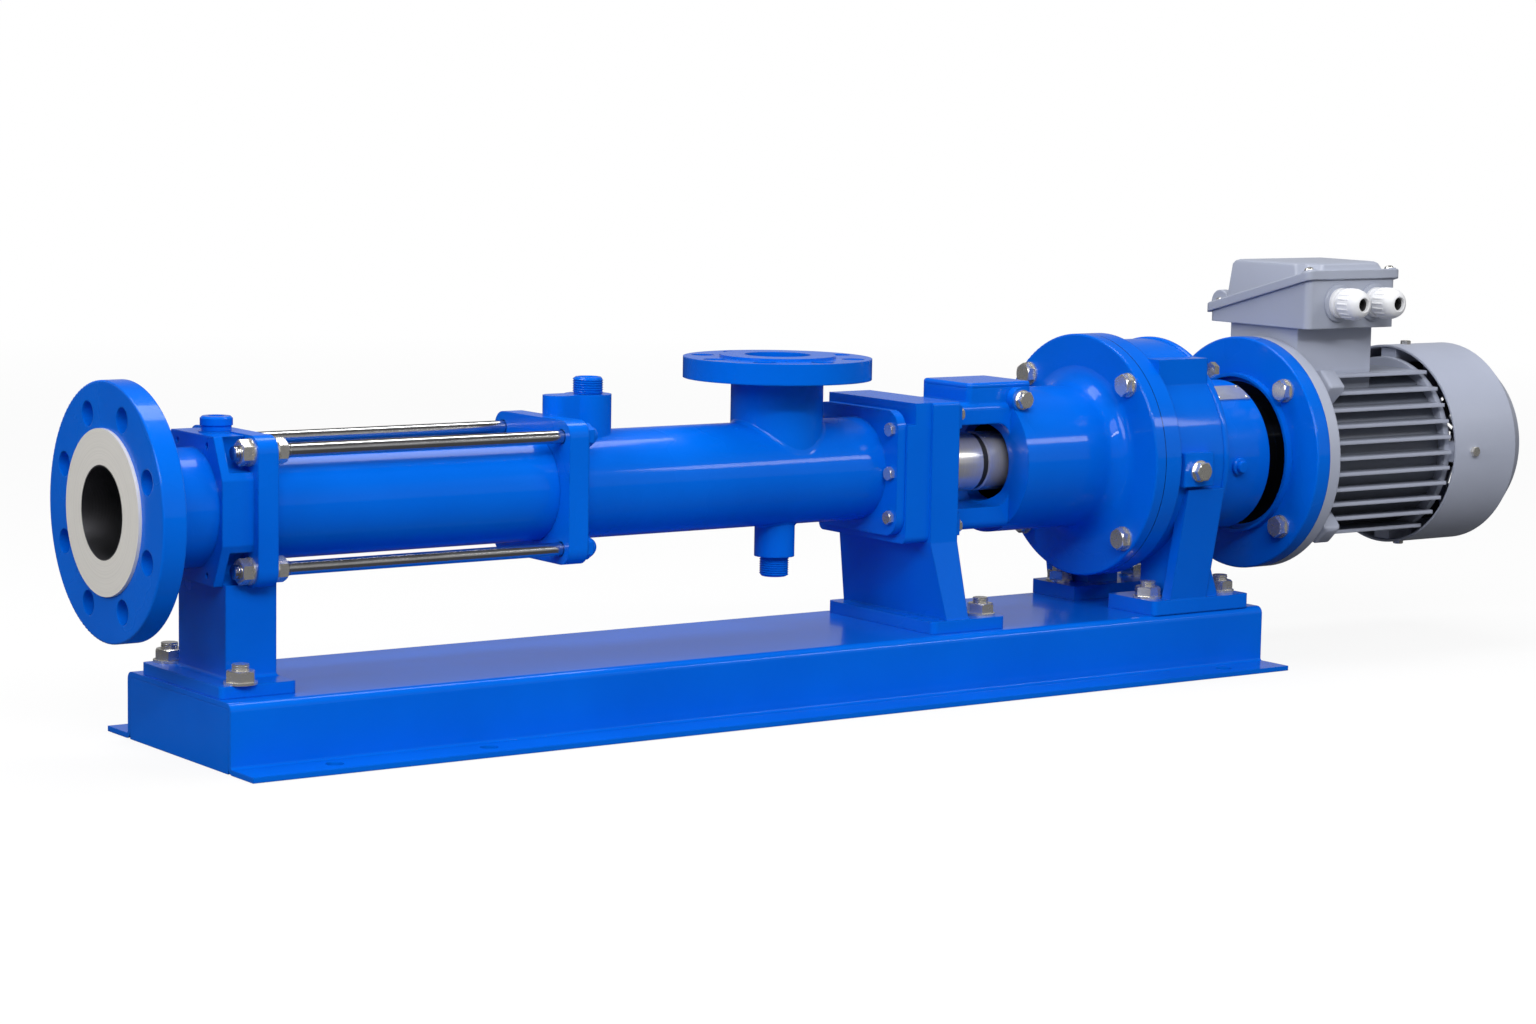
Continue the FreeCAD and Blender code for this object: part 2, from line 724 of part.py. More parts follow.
def make_discharge_casing():
    casing = Body("discharge_casing")
    flange = [circle("0", "0", "discharge_flange_radius")]
    casing.along(flange, "discharge_face_height", "flange_back")
    casing.along([circle("0", "0", "neck_radius")], "flange_back", "block_start")
    block = mirrored_outline([
        ("block_top_half_width", "0 - block_half_height"),
        ("block_half_width", "0 - block_flat"),
        ("block_half_width", "block_flat"),
        ("block_top_half_width", "block_half_height"),
    ])
    casing.along([block], "block_start", "rod_plate_start + 1")
    recesses = four_circles("rod_half", "rod_half", "nut_recess_radius")
    casing.cut_along(recesses, "block_start + block_collar", "rod_plate_start + 2")
    outline = box("0 - plate_half", "0 - plate_half", "plate_half", "plate_half")
    casing.along([outline], "rod_plate_start", "rod_plate_end")

    def plate_corner(edge):
        place = middle(edge)
        at_corner = near(abs(place.y), "plate_half") and near(abs(place.z), "plate_half")
        return straight_along(edge, "x") and at_corner

    def plate_rim(edge):
        return near(edge.BoundBox.XMin, "rod_plate_end") and near(edge.BoundBox.XMax, "rod_plate_end")

    casing.fillet("rod_ear_radius", plate_corner)
    casing.fillet("casting_edge", plate_rim)
    half = "column_width / 2"
    column = box(f"0 - {half}", "base_top", half, "0 - block_half_height + 1")
    casing.along([column], "column_start", "column_start + column_thickness")
    foot_start = "column_start + (column_thickness - column_foot_length) / 2 - column_foot_shift"
    foot_half = "column_foot_width / 2"
    foot = box(foot_start, f"0 - {foot_half}", foot_start + " + column_foot_length", foot_half)
    casing.pad("XY_Plane", [foot], "column_foot_thickness", ("0", "0", "base_top"))
    foot_top = "base_top + column_foot_thickness"

    def upright_corner(edge):
        place = middle(edge)
        in_foot = place.z < number(foot_top) and near(abs(place.y), foot_half)
        return straight_along(edge, "z") and in_foot

    def column_root(edge):
        place = middle(edge)
        at_root = near(place.z, foot_top) and abs(place.y) < number(half) + 0.1
        within = number("column_start") - 0.1 < place.x < number("column_start + column_thickness") + 0.1
        return at_root and within and not straight_along(edge, "z")

    casing.fillet("foot_corner", upright_corner)
    casing.fillet("column_root_radius", column_root)
    casing.cut_along([circle("0", "0", "liner_radius + seat_clearance")], "0", "stator_start")
    recess = [circle("0", "0", "stator_radius + seat_clearance")]
    casing.cut_along(recess, "stator_start", "rod_plate_end")
    first = circle(*polar("discharge_bolt_circle", 22.5), "flange_hole_radius")
    pocket = casing.cut_along([first], "0", "flange_back + 1")
    casing.repeat(pocket, 8)
    rods = four_circles("rod_half", "rod_half", "rod_radius + hole_clearance")
    casing.cut_along(rods, "rod_plate_start - 1", "rod_plate_end + 1")
    plug_seat = circle("vent_plug_station", "0", "vent_plug_radius + 1")
    casing.pad("XY_Plane", [plug_seat], "plate_half - block_half_height + 3",
               ("0", "0", "block_half_height - 3"))
    plug_hole = circle("vent_plug_station", "0", "vent_plug_radius * 0.7")
    casing.cut("XY_Plane", [plug_hole], "9", ("0", "0", "plate_half"))
    radius = "foot_bolt_radius + hole_clearance"
    holes = two_circles("column_start + column_bolt_inset", "column_bolt_spacing / 2", radius)
    casing.cut("XY_Plane", holes, "column_foot_thickness + 2", ("0", "0", foot_top + " + 1"))

    def flange_rim(edge):
        radius = number("discharge_flange_radius")
        face = number("discharge_face_height")
        return round_about(edge, face, radius) or round_about(edge, number("flange_back"), radius)

    def neck_root(edge):
        return round_about(edge, number("flange_back"), number("neck_radius"))

    screws = four_circles("block_screw_half_width", "block_screw_level", "block_screw_radius")
    casing.cut_along(screws, "block_start - 1", "block_start + block_screw_depth")
    casing.fillet("flange_edge", flange_rim)
    casing.fillet("neck_root_radius", neck_root)
    casing.done()


def make_discharge_liner():
    bore = "discharge_bore_radius"
    face = "discharge_face_height"
    liner = Body("discharge_liner")
    liner.turn([
        ("0", bore),
        ("0", "discharge_face_radius"),
        (face, "discharge_face_radius"),
        (face, "liner_radius"),
        ("stator_start - seat_clearance", "liner_radius"),
        ("stator_start - seat_clearance", bore),
    ])
    liner.done()


def make_vent_plug():
    """The round plug on top of the discharge casing, screwed into its hole."""
    low = "plate_half"
    high = "plate_half + vent_plug_height"
    radius = "vent_plug_radius"
    plug = Body("discharge_vent_plug")
    plug.turn_upright([
        ("0", low + " - 7"),
        (f"{radius} * 0.7 - seat_clearance", low + " - 7"),
        (f"{radius} * 0.7 - seat_clearance", low),
        (f"{radius} * 0.92", low),
        (f"{radius} * 0.92", low + " + 4"),
        (radius, low + " + 4"),
        (radius, high + " - 1.5"),
        (f"{radius} - 1.5", high),
        (f"{radius} * 0.5", high),
        (f"{radius} * 0.5", high + " - 3"),
        ("0", high + " - 3"),
    ], "vent_plug_station")
    plug.done()


# Tie rods


def rod_places(aim, station):
    places = []
    for side in ("rod_half", "0 - rod_half"):
        for level in ("rod_half", "0 - rod_half"):
            places.append((aim, (station, side, level)))
    return places


def make_tie_rods():
    start = "rod_plate_start - rod_overhang"
    end = "casing_plate_end + 7"
    template = rod("tie_rod", "rod_radius", "0", f"({end}) - ({start})")
    group("tie_rods", template, rod_places("ahead", start))


def pierced(name, solid, radius, height):
    hole = rod(name + "_hole", radius, "0 - 1", f"({height}) + 2")
    cut = doc.addObject("Part::Cut", name)
    cut.Base = solid
    cut.Tool = hole
    return cut


def make_tie_rod_nuts():
    nut = rounded_hexagon("tie_nut_body", "rod_radius * 3.3", "washer_thickness", "tie_nut_height")
    washer = rod("tie_nut_washer", "rod_radius * 2", "0", "washer_thickness")
    solid = joined("tie_nut_solid", [nut, washer])
    height = "washer_thickness + tie_nut_height"
    template = pierced("tie_nut", solid, "rod_radius + running_clearance", height)
    places = rod_places("back", "rod_plate_start") + rod_places("ahead", "rod_plate_end")
    group("tie_rod_nuts", template, places)


def make_cap_nuts():
    """Domed nuts on the suction casing plate, each closed over the end of its rod."""
    nut = hexagon("cap_nut_hexagon", "rod_radius * 3.3", "0", "7")
    dome = doc.addObject("Part::Sphere", "cap_nut_dome")
    dome.setExpression("Radius", bound("rod_radius * 1.5"))
    dome.setExpression("Placement.Base.z", "6")
    dome.Angle1 = 0
    solid = joined("cap_nut_solid", [nut, dome])
    hole = rod("cap_nut_hole", "rod_radius + running_clearance", "0 - 1", "8.1")
    template = doc.addObject("Part::Cut", "cap_nut")
    template.Base = solid
    template.Tool = hole
    group("tie_rod_cap_nuts", template, rod_places("ahead", "casing_plate_end"))


# Stator and rotor


def make_stator_tube():
    inner = "stator_radius - stator_wall"
    tube = Body("stator_tube")
    tube.turn([
        ("stator_start", inner),
        ("stator_start", "stator_radius"),
        ("stator_end", "stator_radius"),
        ("stator_end", inner),
    ])
    tube.done()


LEVEL_AIM = FreeCAD.Rotation(FreeCAD.Vector(0, 1, 0), 90)


def helix_path(name, pitch, length, radius):
    path = doc.addObject("Part::Helix", name)
    path.setExpression("Pitch", bound(pitch))
    path.setExpression("Height", bound(length))
    path.setExpression("Radius", bound(radius))
    return path


def make_stator_rubber():
    """The lining: a cylinder whose cavity is a slot with round ends, turned once in two pitches."""
    start = "stator_start + 2"
    length = "stator_length - 4"
    block = rod("rubber_block", "stator_radius - stator_wall - seat_clearance / 2", "0", length)
    radius = number("slot_half_width")
    reach = number("slot_half_reach") - radius
    corner = [FreeCAD.Vector(x, y, 0) for x, y in ((-reach, -radius), (reach, -radius))]
    other = [FreeCAD.Vector(x, y, 0) for x, y in ((reach, radius), (-reach, radius))]
    right = Part.Arc(corner[1], FreeCAD.Vector(reach + radius, 0, 0), other[0]).toShape()
    left = Part.Arc(other[1], FreeCAD.Vector(-reach - radius, 0, 0), corner[0]).toShape()
    low = Part.makeLine(corner[0], corner[1])
    high = Part.makeLine(other[0], other[1])
    slot = doc.addObject("Part::Feature", "cavity_slot")
    slot.Shape = Part.Wire([low, right, high, left])
    path = helix_path("cavity_path", "2 * rotor_pitch", length, "slot_half_reach / 2")
    cavity = doc.addObject("Part::Sweep", "cavity_sweep")
    cavity.Sections = [slot]
    cavity.Spine = (path, [])
    cavity.Frenet = True
    cavity.Solid = True
    rubber = doc.addObject("Part::Cut", "rubber_cut")
    rubber.Base = block
    rubber.Tool = cavity
    rubber.Placement = FreeCAD.Placement(FreeCAD.Vector(), LEVEL_AIM)
    keep("stator_rubber", rubber)
    rubber.setExpression("Placement.Base.x", bound(f"({start}) - datum"))


def make_rotor():
    """The single start screw: a circle off its own axis, turned once a pitch, and its head."""
    start = "stator_start + 2"
    length = f"rotor_head_start - ({start})"
    section = doc.addObject("Part::Circle", "rotor_section")
    section.setExpression("Radius", bound("rotor_radius"))
    section.setExpression("Placement.Base.x", bound("rotor_offset"))
    path = helix_path("rotor_path", "rotor_pitch", length, "rotor_offset")
    screw = doc.addObject("Part::Sweep", "rotor_screw")
    screw.Sections = [section]
    screw.Spine = (path, [])
    screw.Frenet = True
    screw.Solid = True
    head = rod("rotor_head", "joint_radius", length, "joint_length")
    socket = rod("rotor_socket", "joint_ball_radius + rotor_play", f"{length} + 6", "joint_length")
    solid = joined("rotor_solid", [screw, head])
    rotor = doc.addObject("Part::Cut", "rotor_cut")
    rotor.Base = solid
    rotor.Tool = socket
    rotor.Placement = FreeCAD.Placement(FreeCAD.Vector(), LEVEL_AIM)
    keep("rotor", rotor)
    rotor.setExpression("Placement.Base.x", bound(f"({start}) - datum"))
    rotor.setExpression("Placement.Base.z", bound("axis_height - rotor_offset"))


def make_joint_sleeve(label, middle_station, level):
    inner = "joint_radius + running_clearance"
    outer = "joint_radius + joint_sleeve_wall"
    start = f"({middle_station}) - joint_length * 0.3"
    end = f"({middle_station}) + joint_length * 0.3"
    sleeve = Body(label)
    sleeve.turn([(start, inner), (start, outer), (end, outer), (end, inner)], level)
    sleeve.done()


def make_coupling_rod():
    """A rod with a ball at each end, from the rotor's offset axis to the pump axis."""
    length = "shaft_ball_station - rotor_ball_station"
    balls = []
    for name, place in (("rod_ball_rotor", "0"), ("rod_ball_shaft", length)):
        ball = doc.addObject("Part::Sphere", name)
        ball.setExpression("Radius", bound("joint_ball_radius"))
        ball.setExpression("Placement.Base.z", bound(place))
        balls.append(ball)
    stem = rod("rod_stem", "rod_neck_radius", "0", length)
    solid = joined("rod_solid", balls + [stem])
    tilt = math.degrees(math.atan2(number("rotor_offset"), number(length)))
    aim = FreeCAD.Rotation(FreeCAD.Vector(0, 1, 0), 90 - tilt)
    solid.Placement = FreeCAD.Placement(FreeCAD.Vector(), aim)
    keep("coupling_rod", solid)
    solid.setExpression("Placement.Base.x", bound("rotor_ball_station - datum"))
    solid.setExpression("Placement.Base.z", bound("axis_height - rotor_offset"))


# Suction casing


def make_suction_casing():
    casing = Body("suction_casing")
    outline = box("0 - plate_half", "0 - plate_half", "plate_half", "plate_half")
    casing.along([outline], "casing_start", "casing_plate_end")

    def plate_corner(edge):
        place = middle(edge)
        at_corner = near(abs(place.y), "plate_half") and near(abs(place.z), "plate_half")
        return straight_along(edge, "x") and at_corner

    casing.fillet("rod_ear_radius", plate_corner)
    casing.along([circle("0", "0", "casing_radius")], "casing_plate_end", "casing_flange_start")
    half_width = "casing_flange_half_width"
    half_height = "casing_flange_half_height"
    outline = box(f"0 - {half_width}", f"0 - {half_height}", half_width, half_height)
    casing.along([outline], "casing_flange_start", "casing_end")

    def flange_corner(edge):
        place = middle(edge)
        at_corner = near(abs(place.y), half_width) and near(abs(place.z), half_height)
        return straight_along(edge, "x") and at_corner

    casing.fillet("15", flange_corner)
    body_half = "suction_face_level - suction_face_height"
    flange = circle("suction_station", "0", "suction_flange_radius")
    under = f"{body_half} - suction_flange_thickness"
    casing.pad("XY_Plane", [flange], "suction_flange_thickness", ("0", "0", under))
    face = circle("suction_station", "0", "suction_face_radius")
    casing.pad("XY_Plane", [face], "suction_face_height", ("0", "0", body_half))
    neck = circle("suction_station", "0", "suction_neck_radius")
    casing.pad("XY_Plane", [neck], under)
    drain = circle("suction_station", "0", "drain_radius")
    casing.pad("XY_Plane", [drain], "drain_level", reverse=True)
    large = circle("boss_station", "0", "boss_radius")
    casing.pad("XY_Plane", [large], "boss_level")
    lobe_station = "boss_station - boss_lobe_distance - 5"
    lobe = circle(lobe_station, "0", "boss_lobe_radius")
    casing.pad("XY_Plane", [lobe], "boss_level")
    web = box(lobe_station, "0 - boss_lobe_radius", "boss_station", "boss_lobe_radius")
    casing.pad("XY_Plane", [web], "boss_level")

    def neck_top(edge):
        return edge.Curve.TypeId == "Part::GeomCircle" and near(edge.Curve.Center.z, under) and near(
            edge.Curve.Radius, "suction_neck_radius")

    casing.fillet("4", neck_top)
    casing.bore([
        ("casing_plate_end", "0"),
        ("casing_plate_end", "casing_radius - casing_wall"),
        ("casing_end + 1", "casing_radius - casing_wall"),
        ("casing_end + 1", "0"),
    ])
    casing.bore([
        ("casing_start - 1", "0"),
        ("casing_start - 1", "stator_radius + seat_clearance"),
        ("stator_end", "stator_radius + seat_clearance"),
        ("stator_end", "casing_radius - casing_wall"),
        ("casing_plate_end + 1", "casing_radius - casing_wall"),
        ("casing_plate_end + 1", "0"),
    ])
    port = circle("suction_station", "0", "suction_bore_radius")
    casing.cut("XY_Plane", [port], "suction_face_level + 1", ("0", "0", "suction_face_level + 1"))
    hole = circle("suction_station + suction_bolt_circle", "0", "flange_hole_radius")
    depth = "suction_flange_thickness + 2"
    holes = casing.cut("XY_Plane", [hole], depth, ("0", "0", f"{body_half} + 1"))
    casing.repeat_upright(holes, 8, "suction_station")
    rods = four_circles("rod_half", "rod_half", "rod_radius + hole_clearance")
    casing.cut_along(rods, "casing_start - 1", "casing_plate_end + 1")
    tapping = circle("boss_station", "0", "pipe_plug_radius * 0.7")
    casing.cut("XY_Plane", [tapping], "boss_level", ("0", "0", "boss_level"))
    tapping = circle("suction_station", "0", "pipe_plug_radius * 0.7")
    casing.cut("XY_Plane", [tapping], "drain_level", ("0", "0", "0 - drain_level"), reverse=True)
    screws = []
    for side in ("casing_screw_half_width", "0 - casing_screw_half_width"):
        for level in ("casing_screw_pitch", "0", "0 - casing_screw_pitch"):
            screws.append(circle(side, level, "small_screw_radius + hole_clearance / 2"))
    casing.cut_along(screws, "casing_flange_start - 1", "casing_end + 1")
    casing.done()


def make_pipe_plug(label, station, seat, end):
    """A plain threaded stub closed at its end, screwed into a tapping."""
    stem = "pipe_plug_radius * 0.7 - seat_clearance"
    inside = f"({seat}) * 0.88"
    plug = Body(label)
    plug.turn_upright([
        ("0", inside),
        (stem, inside),
        (stem, seat),
        ("pipe_plug_radius", seat),
        ("pipe_plug_radius", f"({end}) - (({end}) - ({seat})) * 0.12"),
        ("pipe_plug_radius - 1.4", end),
        ("0", end),
    ], station)
    plug.done()


# Seal bracket and shaft


def make_seal_bracket():
    bracket = Body("seal_bracket")
    half = "bracket_half_width"
    high = "bracket_half_height"
    pad = box(f"0 - {half} + 3", f"0 - {high}", f"{half} - 3", f"{high} - 17")
    bracket.along([pad], "bracket_start", "bracket_plate_start")
    shelf = box(f"0 - {half} + 3", f"{high} - 17", f"{half} - 3", high)
    bracket.along([shelf], "bracket_start + 8", "bracket_plate_start")

    def pad_corner(edge):
        place = middle(edge)
        return straight_along(edge, "x") and abs(place.y) > number(half) - 4

    bracket.fillet("6", lambda edge: pad_corner(edge) and near(middle(edge).z, f"0 - {high}"))
    bracket.along([box(f"0 - {half}", f"0 - {high}", half, high)], "bracket_plate_start", "bracket_end")
    leg_foot = "base_top + bracket_foot_thickness"
    leg = mirrored_outline([
        ("bracket_leg_half_width", "base_top"),
        ("bracket_leg_half_width", leg_foot),
        (half, f"0 - {high}"),
    ])
    leg_end = "bracket_end + bracket_leg_taper"
    bracket.along([leg], "bracket_plate_start", leg_end)
    leaning_face = [
        ("bracket_plate_start - 1", f"0 - {high}"),
        ("bracket_plate_start", f"0 - {high}"),
        ("bracket_plate_start + bracket_leg_lean", "base_top"),
        ("bracket_plate_start - 1", "base_top"),
    ]
    leaning_back = [
        ("bracket_end", f"0 - {high} + 1"),
        (f"{leg_end} + 1", f"0 - {high} + 1"),
        (f"{leg_end} + 1", leg_foot),
        (leg_end, leg_foot),
        ("bracket_end", f"0 - {high}"),
    ]
    wide = "bracket_leg_half_width + 1"
    bracket.cut("XZ_Plane", [leaning_face], f"2 * ({wide})", ("0", "0", wide))
    bracket.cut("XZ_Plane", [leaning_back], f"2 * ({wide})", ("0", "0", wide))
    foot_half = "bracket_foot_width / 2"
    foot_start = "bracket_plate_start - 3"
    foot = box(foot_start, f"0 - {foot_half}", f"{foot_start} + bracket_foot_length", foot_half)
    bracket.pad("XY_Plane", [foot], "bracket_foot_thickness", ("0", "0", "base_top"))

    def upright_corner(edge):
        place = middle(edge)
        in_foot = place.z < number(leg_foot) and near(abs(place.y), foot_half)
        return straight_along(edge, "z") and in_foot

    def plate_top(edge):
        place = middle(edge)
        return straight_along(edge, "x") and near(place.z, high) and near(abs(place.y), half)

    def leg_root(edge):
        place = middle(edge)
        at_root = near(place.z, leg_foot) and straight_along(edge, "y")
        return at_root and near(place.x, leg_end)

    bracket.fillet("5", upright_corner)
    bracket.fillet("2.5", plate_top)
    bracket.fillet("bracket_root_radius", leg_root)
    bracket.bore([
        ("bracket_start - 1", "0"),
        ("bracket_start - 1", "seal_radius + seat_clearance"),
        ("bracket_start + 14", "seal_radius + seat_clearance"),
        ("bracket_start + 14", "seal_shaft_radius + 1"),
        ("bracket_plate_start", "seal_shaft_radius + 1"),
        ("bracket_plate_start", "shaft_radius + 1"),
        ("bracket_end + 1", "shaft_radius + 1"),
        ("bracket_end + 1", "0"),
    ])
    tapped = []
    for side in ("casing_screw_half_width", "0 - casing_screw_half_width"):
        for level in ("casing_screw_pitch", "0", "0 - casing_screw_pitch"):
            tapped.append(circle(side, level, "small_screw_radius + hole_clearance / 2"))
    bracket.cut_along(tapped, "bracket_start - 1", "bracket_start + 16")
    half_width = "lantern_screw_half_width"
    holes = four_circles(half_width, "lantern_screw_level", "small_screw_radius + hole_clearance / 2")
    bracket.cut_along(holes, "bracket_end - 16", "bracket_end + 1")
    station = "bracket_plate_start + bracket_bolt_distance"
    holes = two_circles(station, "bracket_bolt_half_width", "foot_bolt_radius + hole_clearance")
    depth = "bracket_foot_thickness + 2"
    bracket.cut("XY_Plane", holes, depth, ("0", "0", f"{leg_foot} + 1"))
    bracket.done()


def make_seal_seat():
    """The fixed ring of the shaft seal, pressed into the bracket."""
    seat = Body("seal_seat")
    inner = "seal_shaft_radius + 0.6"
    seat.turn([
        ("bracket_start + 4", inner),
        ("bracket_start + 4", "seal_radius"),
        ("bracket_start + 14", "seal_radius"),
        ("bracket_start + 14", inner),
    ])
    seat.done()


def make_seal_ring():
    """The ring that turns with the shaft and runs on the seat."""
    ring = Body("seal_ring")
    inner = "seal_shaft_radius + running_clearance"
    end = "bracket_start + 4 - running_clearance"
    ring.turn([
        ("shaft_head_end + 1", inner),
        ("shaft_head_end + 1", "seal_radius - 4"),
        (end, "seal_radius - 4"),
        (end, inner),
    ])
    ring.done()


def make_plug_shaft():
    """The shaft from the rod's joint through the seal to the gearbox, with its groove."""
    socket = "joint_ball_radius + rotor_play"
    groove = "shaft_radius - shaft_groove_depth"
    groove_end = "shaft_groove_station + shaft_groove_width"
    shaft = Body("plug_shaft")
    shaft.turn([
        ("shaft_head_start", socket),
        ("shaft_head_start", "joint_radius"),
        ("shaft_head_end", "joint_radius"),
        ("shaft_head_end", "seal_shaft_radius"),
        ("bracket_plate_start + 1", "seal_shaft_radius"),
        ("bracket_plate_start + 1", "shaft_radius"),
        ("shaft_groove_station - 1", "shaft_radius"),
        ("shaft_groove_station", groove),
        ("shaft_groove_station", "0"),
        ("shaft_head_end - 6", "0"),
        ("shaft_head_end - 6", socket),
    ])
    shaft.done()
    collar = Body("shaft_groove_ring")
    collar.turn([
        ("shaft_groove_station", "0"),
        ("shaft_groove_station", groove),
        (groove_end, groove),
        (groove_end, "0"),
    ])
    collar.done()


def make_output_shaft():
    groove_end = "shaft_groove_station + shaft_groove_width"
    shoulder = "output_bearing_middle - bearing_width"
    shaft = Body("output_shaft")
    shaft.turn([
        (groove_end, "0"),
        (groove_end, "shaft_radius - shaft_groove_depth"),
        (groove_end + " + 1", "shaft_radius"),
        (shoulder, "shaft_radius"),
        (shoulder, "bearing_bore_radius"),
        ("output_wheel_start + output_wheel_width + 3", "bearing_bore_radius"),
        ("output_wheel_start + output_wheel_width + 3", "0"),
    ])
    shaft.done()


def make_ring(label, solids):
    """One node of turned rings, from (start, end, inner, outer, level) sizes."""
    rings = []
    for count, (start, end, inner, outer, level) in enumerate(solids, 1):
        disc = rod(f"{label}_disc_{count}", outer, "0", f"({end}) - ({start})")
        ring = pierced(f"{label}_ring_{count}", disc, inner, f"({end}) - ({start})")
        rings.append((ring, "ahead", (start, "0", level)))
    return gathered(label, rings)


# Lantern


def make_lantern():
    lantern = Body("lantern")
    inner = "lantern_radius - lantern_wall"
    seal_wall = "oil_seal_start - 4"
    arm_half = "lantern_arm_half_width"
    top_arm = box(f"0 - {arm_half}", "lantern_arm_inner", arm_half, "lantern_arm_outer")
    low_arm = box(f"0 - {arm_half}", "0 - lantern_arm_outer", arm_half, "0 - lantern_arm_inner")
    lantern.along([top_arm, low_arm], "bracket_end", "lantern_tube_start + 14")

    def arm_edge(edge):
        place = middle(edge)
        outside = near(abs(place.z), "lantern_arm_outer") and near(abs(place.y), arm_half)
        return straight_along(edge, "x") and outside

    lantern.fillet("lantern_arm_round", arm_edge)
    lug = circle("lantern_lug_station", "lantern_lug_level", "lantern_lug_radius")
    lantern.pad("XZ_Plane", [lug], "16", ("0", "0", "lantern_lug_half_width - 16"))
    wall_end = "lantern_tube_start + lantern_end_wall"
    lantern.turn([
        ("lantern_tube_start", "0"),
        ("lantern_tube_start", "lantern_radius"),
        ("lantern_flange_start", "lantern_radius"),
        ("lantern_flange_start", "lantern_flange_radius"),
        ("lantern_end", "lantern_flange_radius"),
        ("lantern_end", "bearing_radius"),
        ("oil_seal_start + oil_seal_width", "bearing_radius"),
        ("oil_seal_start + oil_seal_width", "oil_seal_radius + seat_clearance"),
        ("oil_seal_start", "oil_seal_radius + seat_clearance"),
        ("oil_seal_start", "shaft_radius + 1.5"),
        (seal_wall, "shaft_radius + 1.5"),
        (seal_wall, inner),
        (wall_end, inner),
        (wall_end, "0"),
    ])

    def window_corner(edge):
        place = middle(edge)
        at_corner = near(place.x, "lantern_tube_start") and near(abs(place.z), "lantern_arm_inner")
        return straight_along(edge, "y") and at_corner

    lantern.fillet("lantern_window_round", window_corner)

    def flare(edge):
        return round_about(edge, number("lantern_flange_start"), number("lantern_radius"))

    lantern.fillet("lantern_flare", flare)
    flange = "bracket_end + 7"
    lug_half = "lantern_screw_half_width"
    low = "lantern_arm_inner"
    high = "lantern_arm_outer"
    top = box(f"0 - {lug_half} - 6", low, f"{lug_half} + 6", high)
    bottom = box(f"0 - {lug_half} - 6", f"0 - {high}", f"{lug_half} + 6", f"0 - {low}")
    lantern.along([top, bottom], "bracket_end", flange)
    pad_start = "bracket_end + lantern_pad_start"
    pad_end = f"{pad_start} + lantern_pad_length"
    pad_half = "lantern_pad_half_width"
    pad = box(pad_start, f"0 - {pad_half}", pad_end, pad_half)
    pad_low = "lantern_arm_outer - 3"
    lantern.pad("XY_Plane", [pad], f"lantern_pad_level - ({pad_low})", ("0", "0", pad_low))

    def pad_corner(edge):
        place = middle(edge)
        at_end = near(place.x, pad_start) or near(place.x, pad_end)
        return straight_along(edge, "z") and at_end and near(abs(place.y), pad_half)

    lantern.fillet("lantern_pad_round", pad_corner)
    holes = four_circles(lug_half, "lantern_screw_level", "small_screw_radius + hole_clearance / 2")
    lantern.cut_along(holes, "bracket_end - 1", flange + " + 1")
    first = circle(*polar("lantern_bolt_circle", 45), "flange_bolt_radius + hole_clearance")
    pocket = lantern.cut_along([first], "lantern_flange_start - 30", "lantern_end + 1")
    lantern.repeat(pocket, 4)
    lantern.cut_along([circle("0", "0", inner)], wall_end, seal_wall)
    mouth = [circle("0", "0", "lantern_mouth_radius")]
    lantern.cut_along(mouth, "lantern_tube_start - 20", wall_end + " + 1")

    def flange_rim(edge):
        return round_about(edge, number("lantern_flange_start"), number("lantern_flange_radius"))

    lantern.fillet("casting_edge", flange_rim)
    lug_hole = circle("lantern_lug_station", "lantern_lug_level", "lug_bolt_radius + hole_clearance / 4")
    lantern.cut("XZ_Plane", [lug_hole], "12", ("0", "0", "lantern_lug_half_width + 1"))
    lantern.done()


def make_lantern_cover():
    """The cast cap on the pad on top of the lantern's arm."""
    cover = Body("lantern_cover")
    start = "bracket_end + lantern_pad_start"
    end = f"{start} + lantern_pad_length"
    low = "lantern_pad_level"
    outline = box(start, "0 - lantern_pad_half_width", end, "lantern_pad_half_width")
    cover.pad("XY_Plane", [outline], "lantern_cover_thickness", ("0", "0", low))

    def upright(edge):
        return straight_along(edge, "z")

    def top_rim(edge):
        return near(middle(edge).z, low + " + lantern_cover_thickness")

    cover.fillet("lantern_pad_round", upright)
    cover.fillet("2.5", top_rim)
    cover.done()


# Gearbox


def gear_outline(teeth, turn, station):
    """The closed outline of a spur gear of the shared module, with straight narrow teeth."""
    module = number("gear_module")
    pitch = module * teeth / 2
    root = pitch - 1.25 * module
    tip = pitch + 0.9 * module
    step = 2 * math.pi / teeth
    points = []
    for tooth in range(teeth):
        for share, radius in ((-0.30, root), (-0.13, tip), (0.13, tip), (0.30, root)):
            angle = turn + (tooth + share) * step
            across = radius * math.cos(angle)
            points.append(FreeCAD.Vector(station, across, radius * math.sin(angle)))
    return Part.makePolygon(points + points[:1])


def toothed_wheel(teeth_name, start, end, bore, turn):
    """A spur gear between two stations, its first tooth turned from the upright by a part tooth."""
    teeth = int(number(teeth_name))
    aim = math.pi / 2 + turn * math.pi / teeth
    face = Part.Face(gear_outline(teeth, aim, number(start)))
    wheel = face.extrude(FreeCAD.Vector(number(end) - number(start), 0, 0))
    if bore:
        wheel = wheel.cut(cylinder_along(bore, f"({start}) - 1", f"({end}) + 1"))
    return wheel


def solid_feature(label, shape, level):
    """A piece whose shape is worked out here, about the line along X at the given level."""
    item = doc.addObject("Part::Feature", label)
    item.Shape = shape
    keep(label, item)
    item.setExpression("Placement.Base.z", bound(f"axis_height + {level}"))
    return item


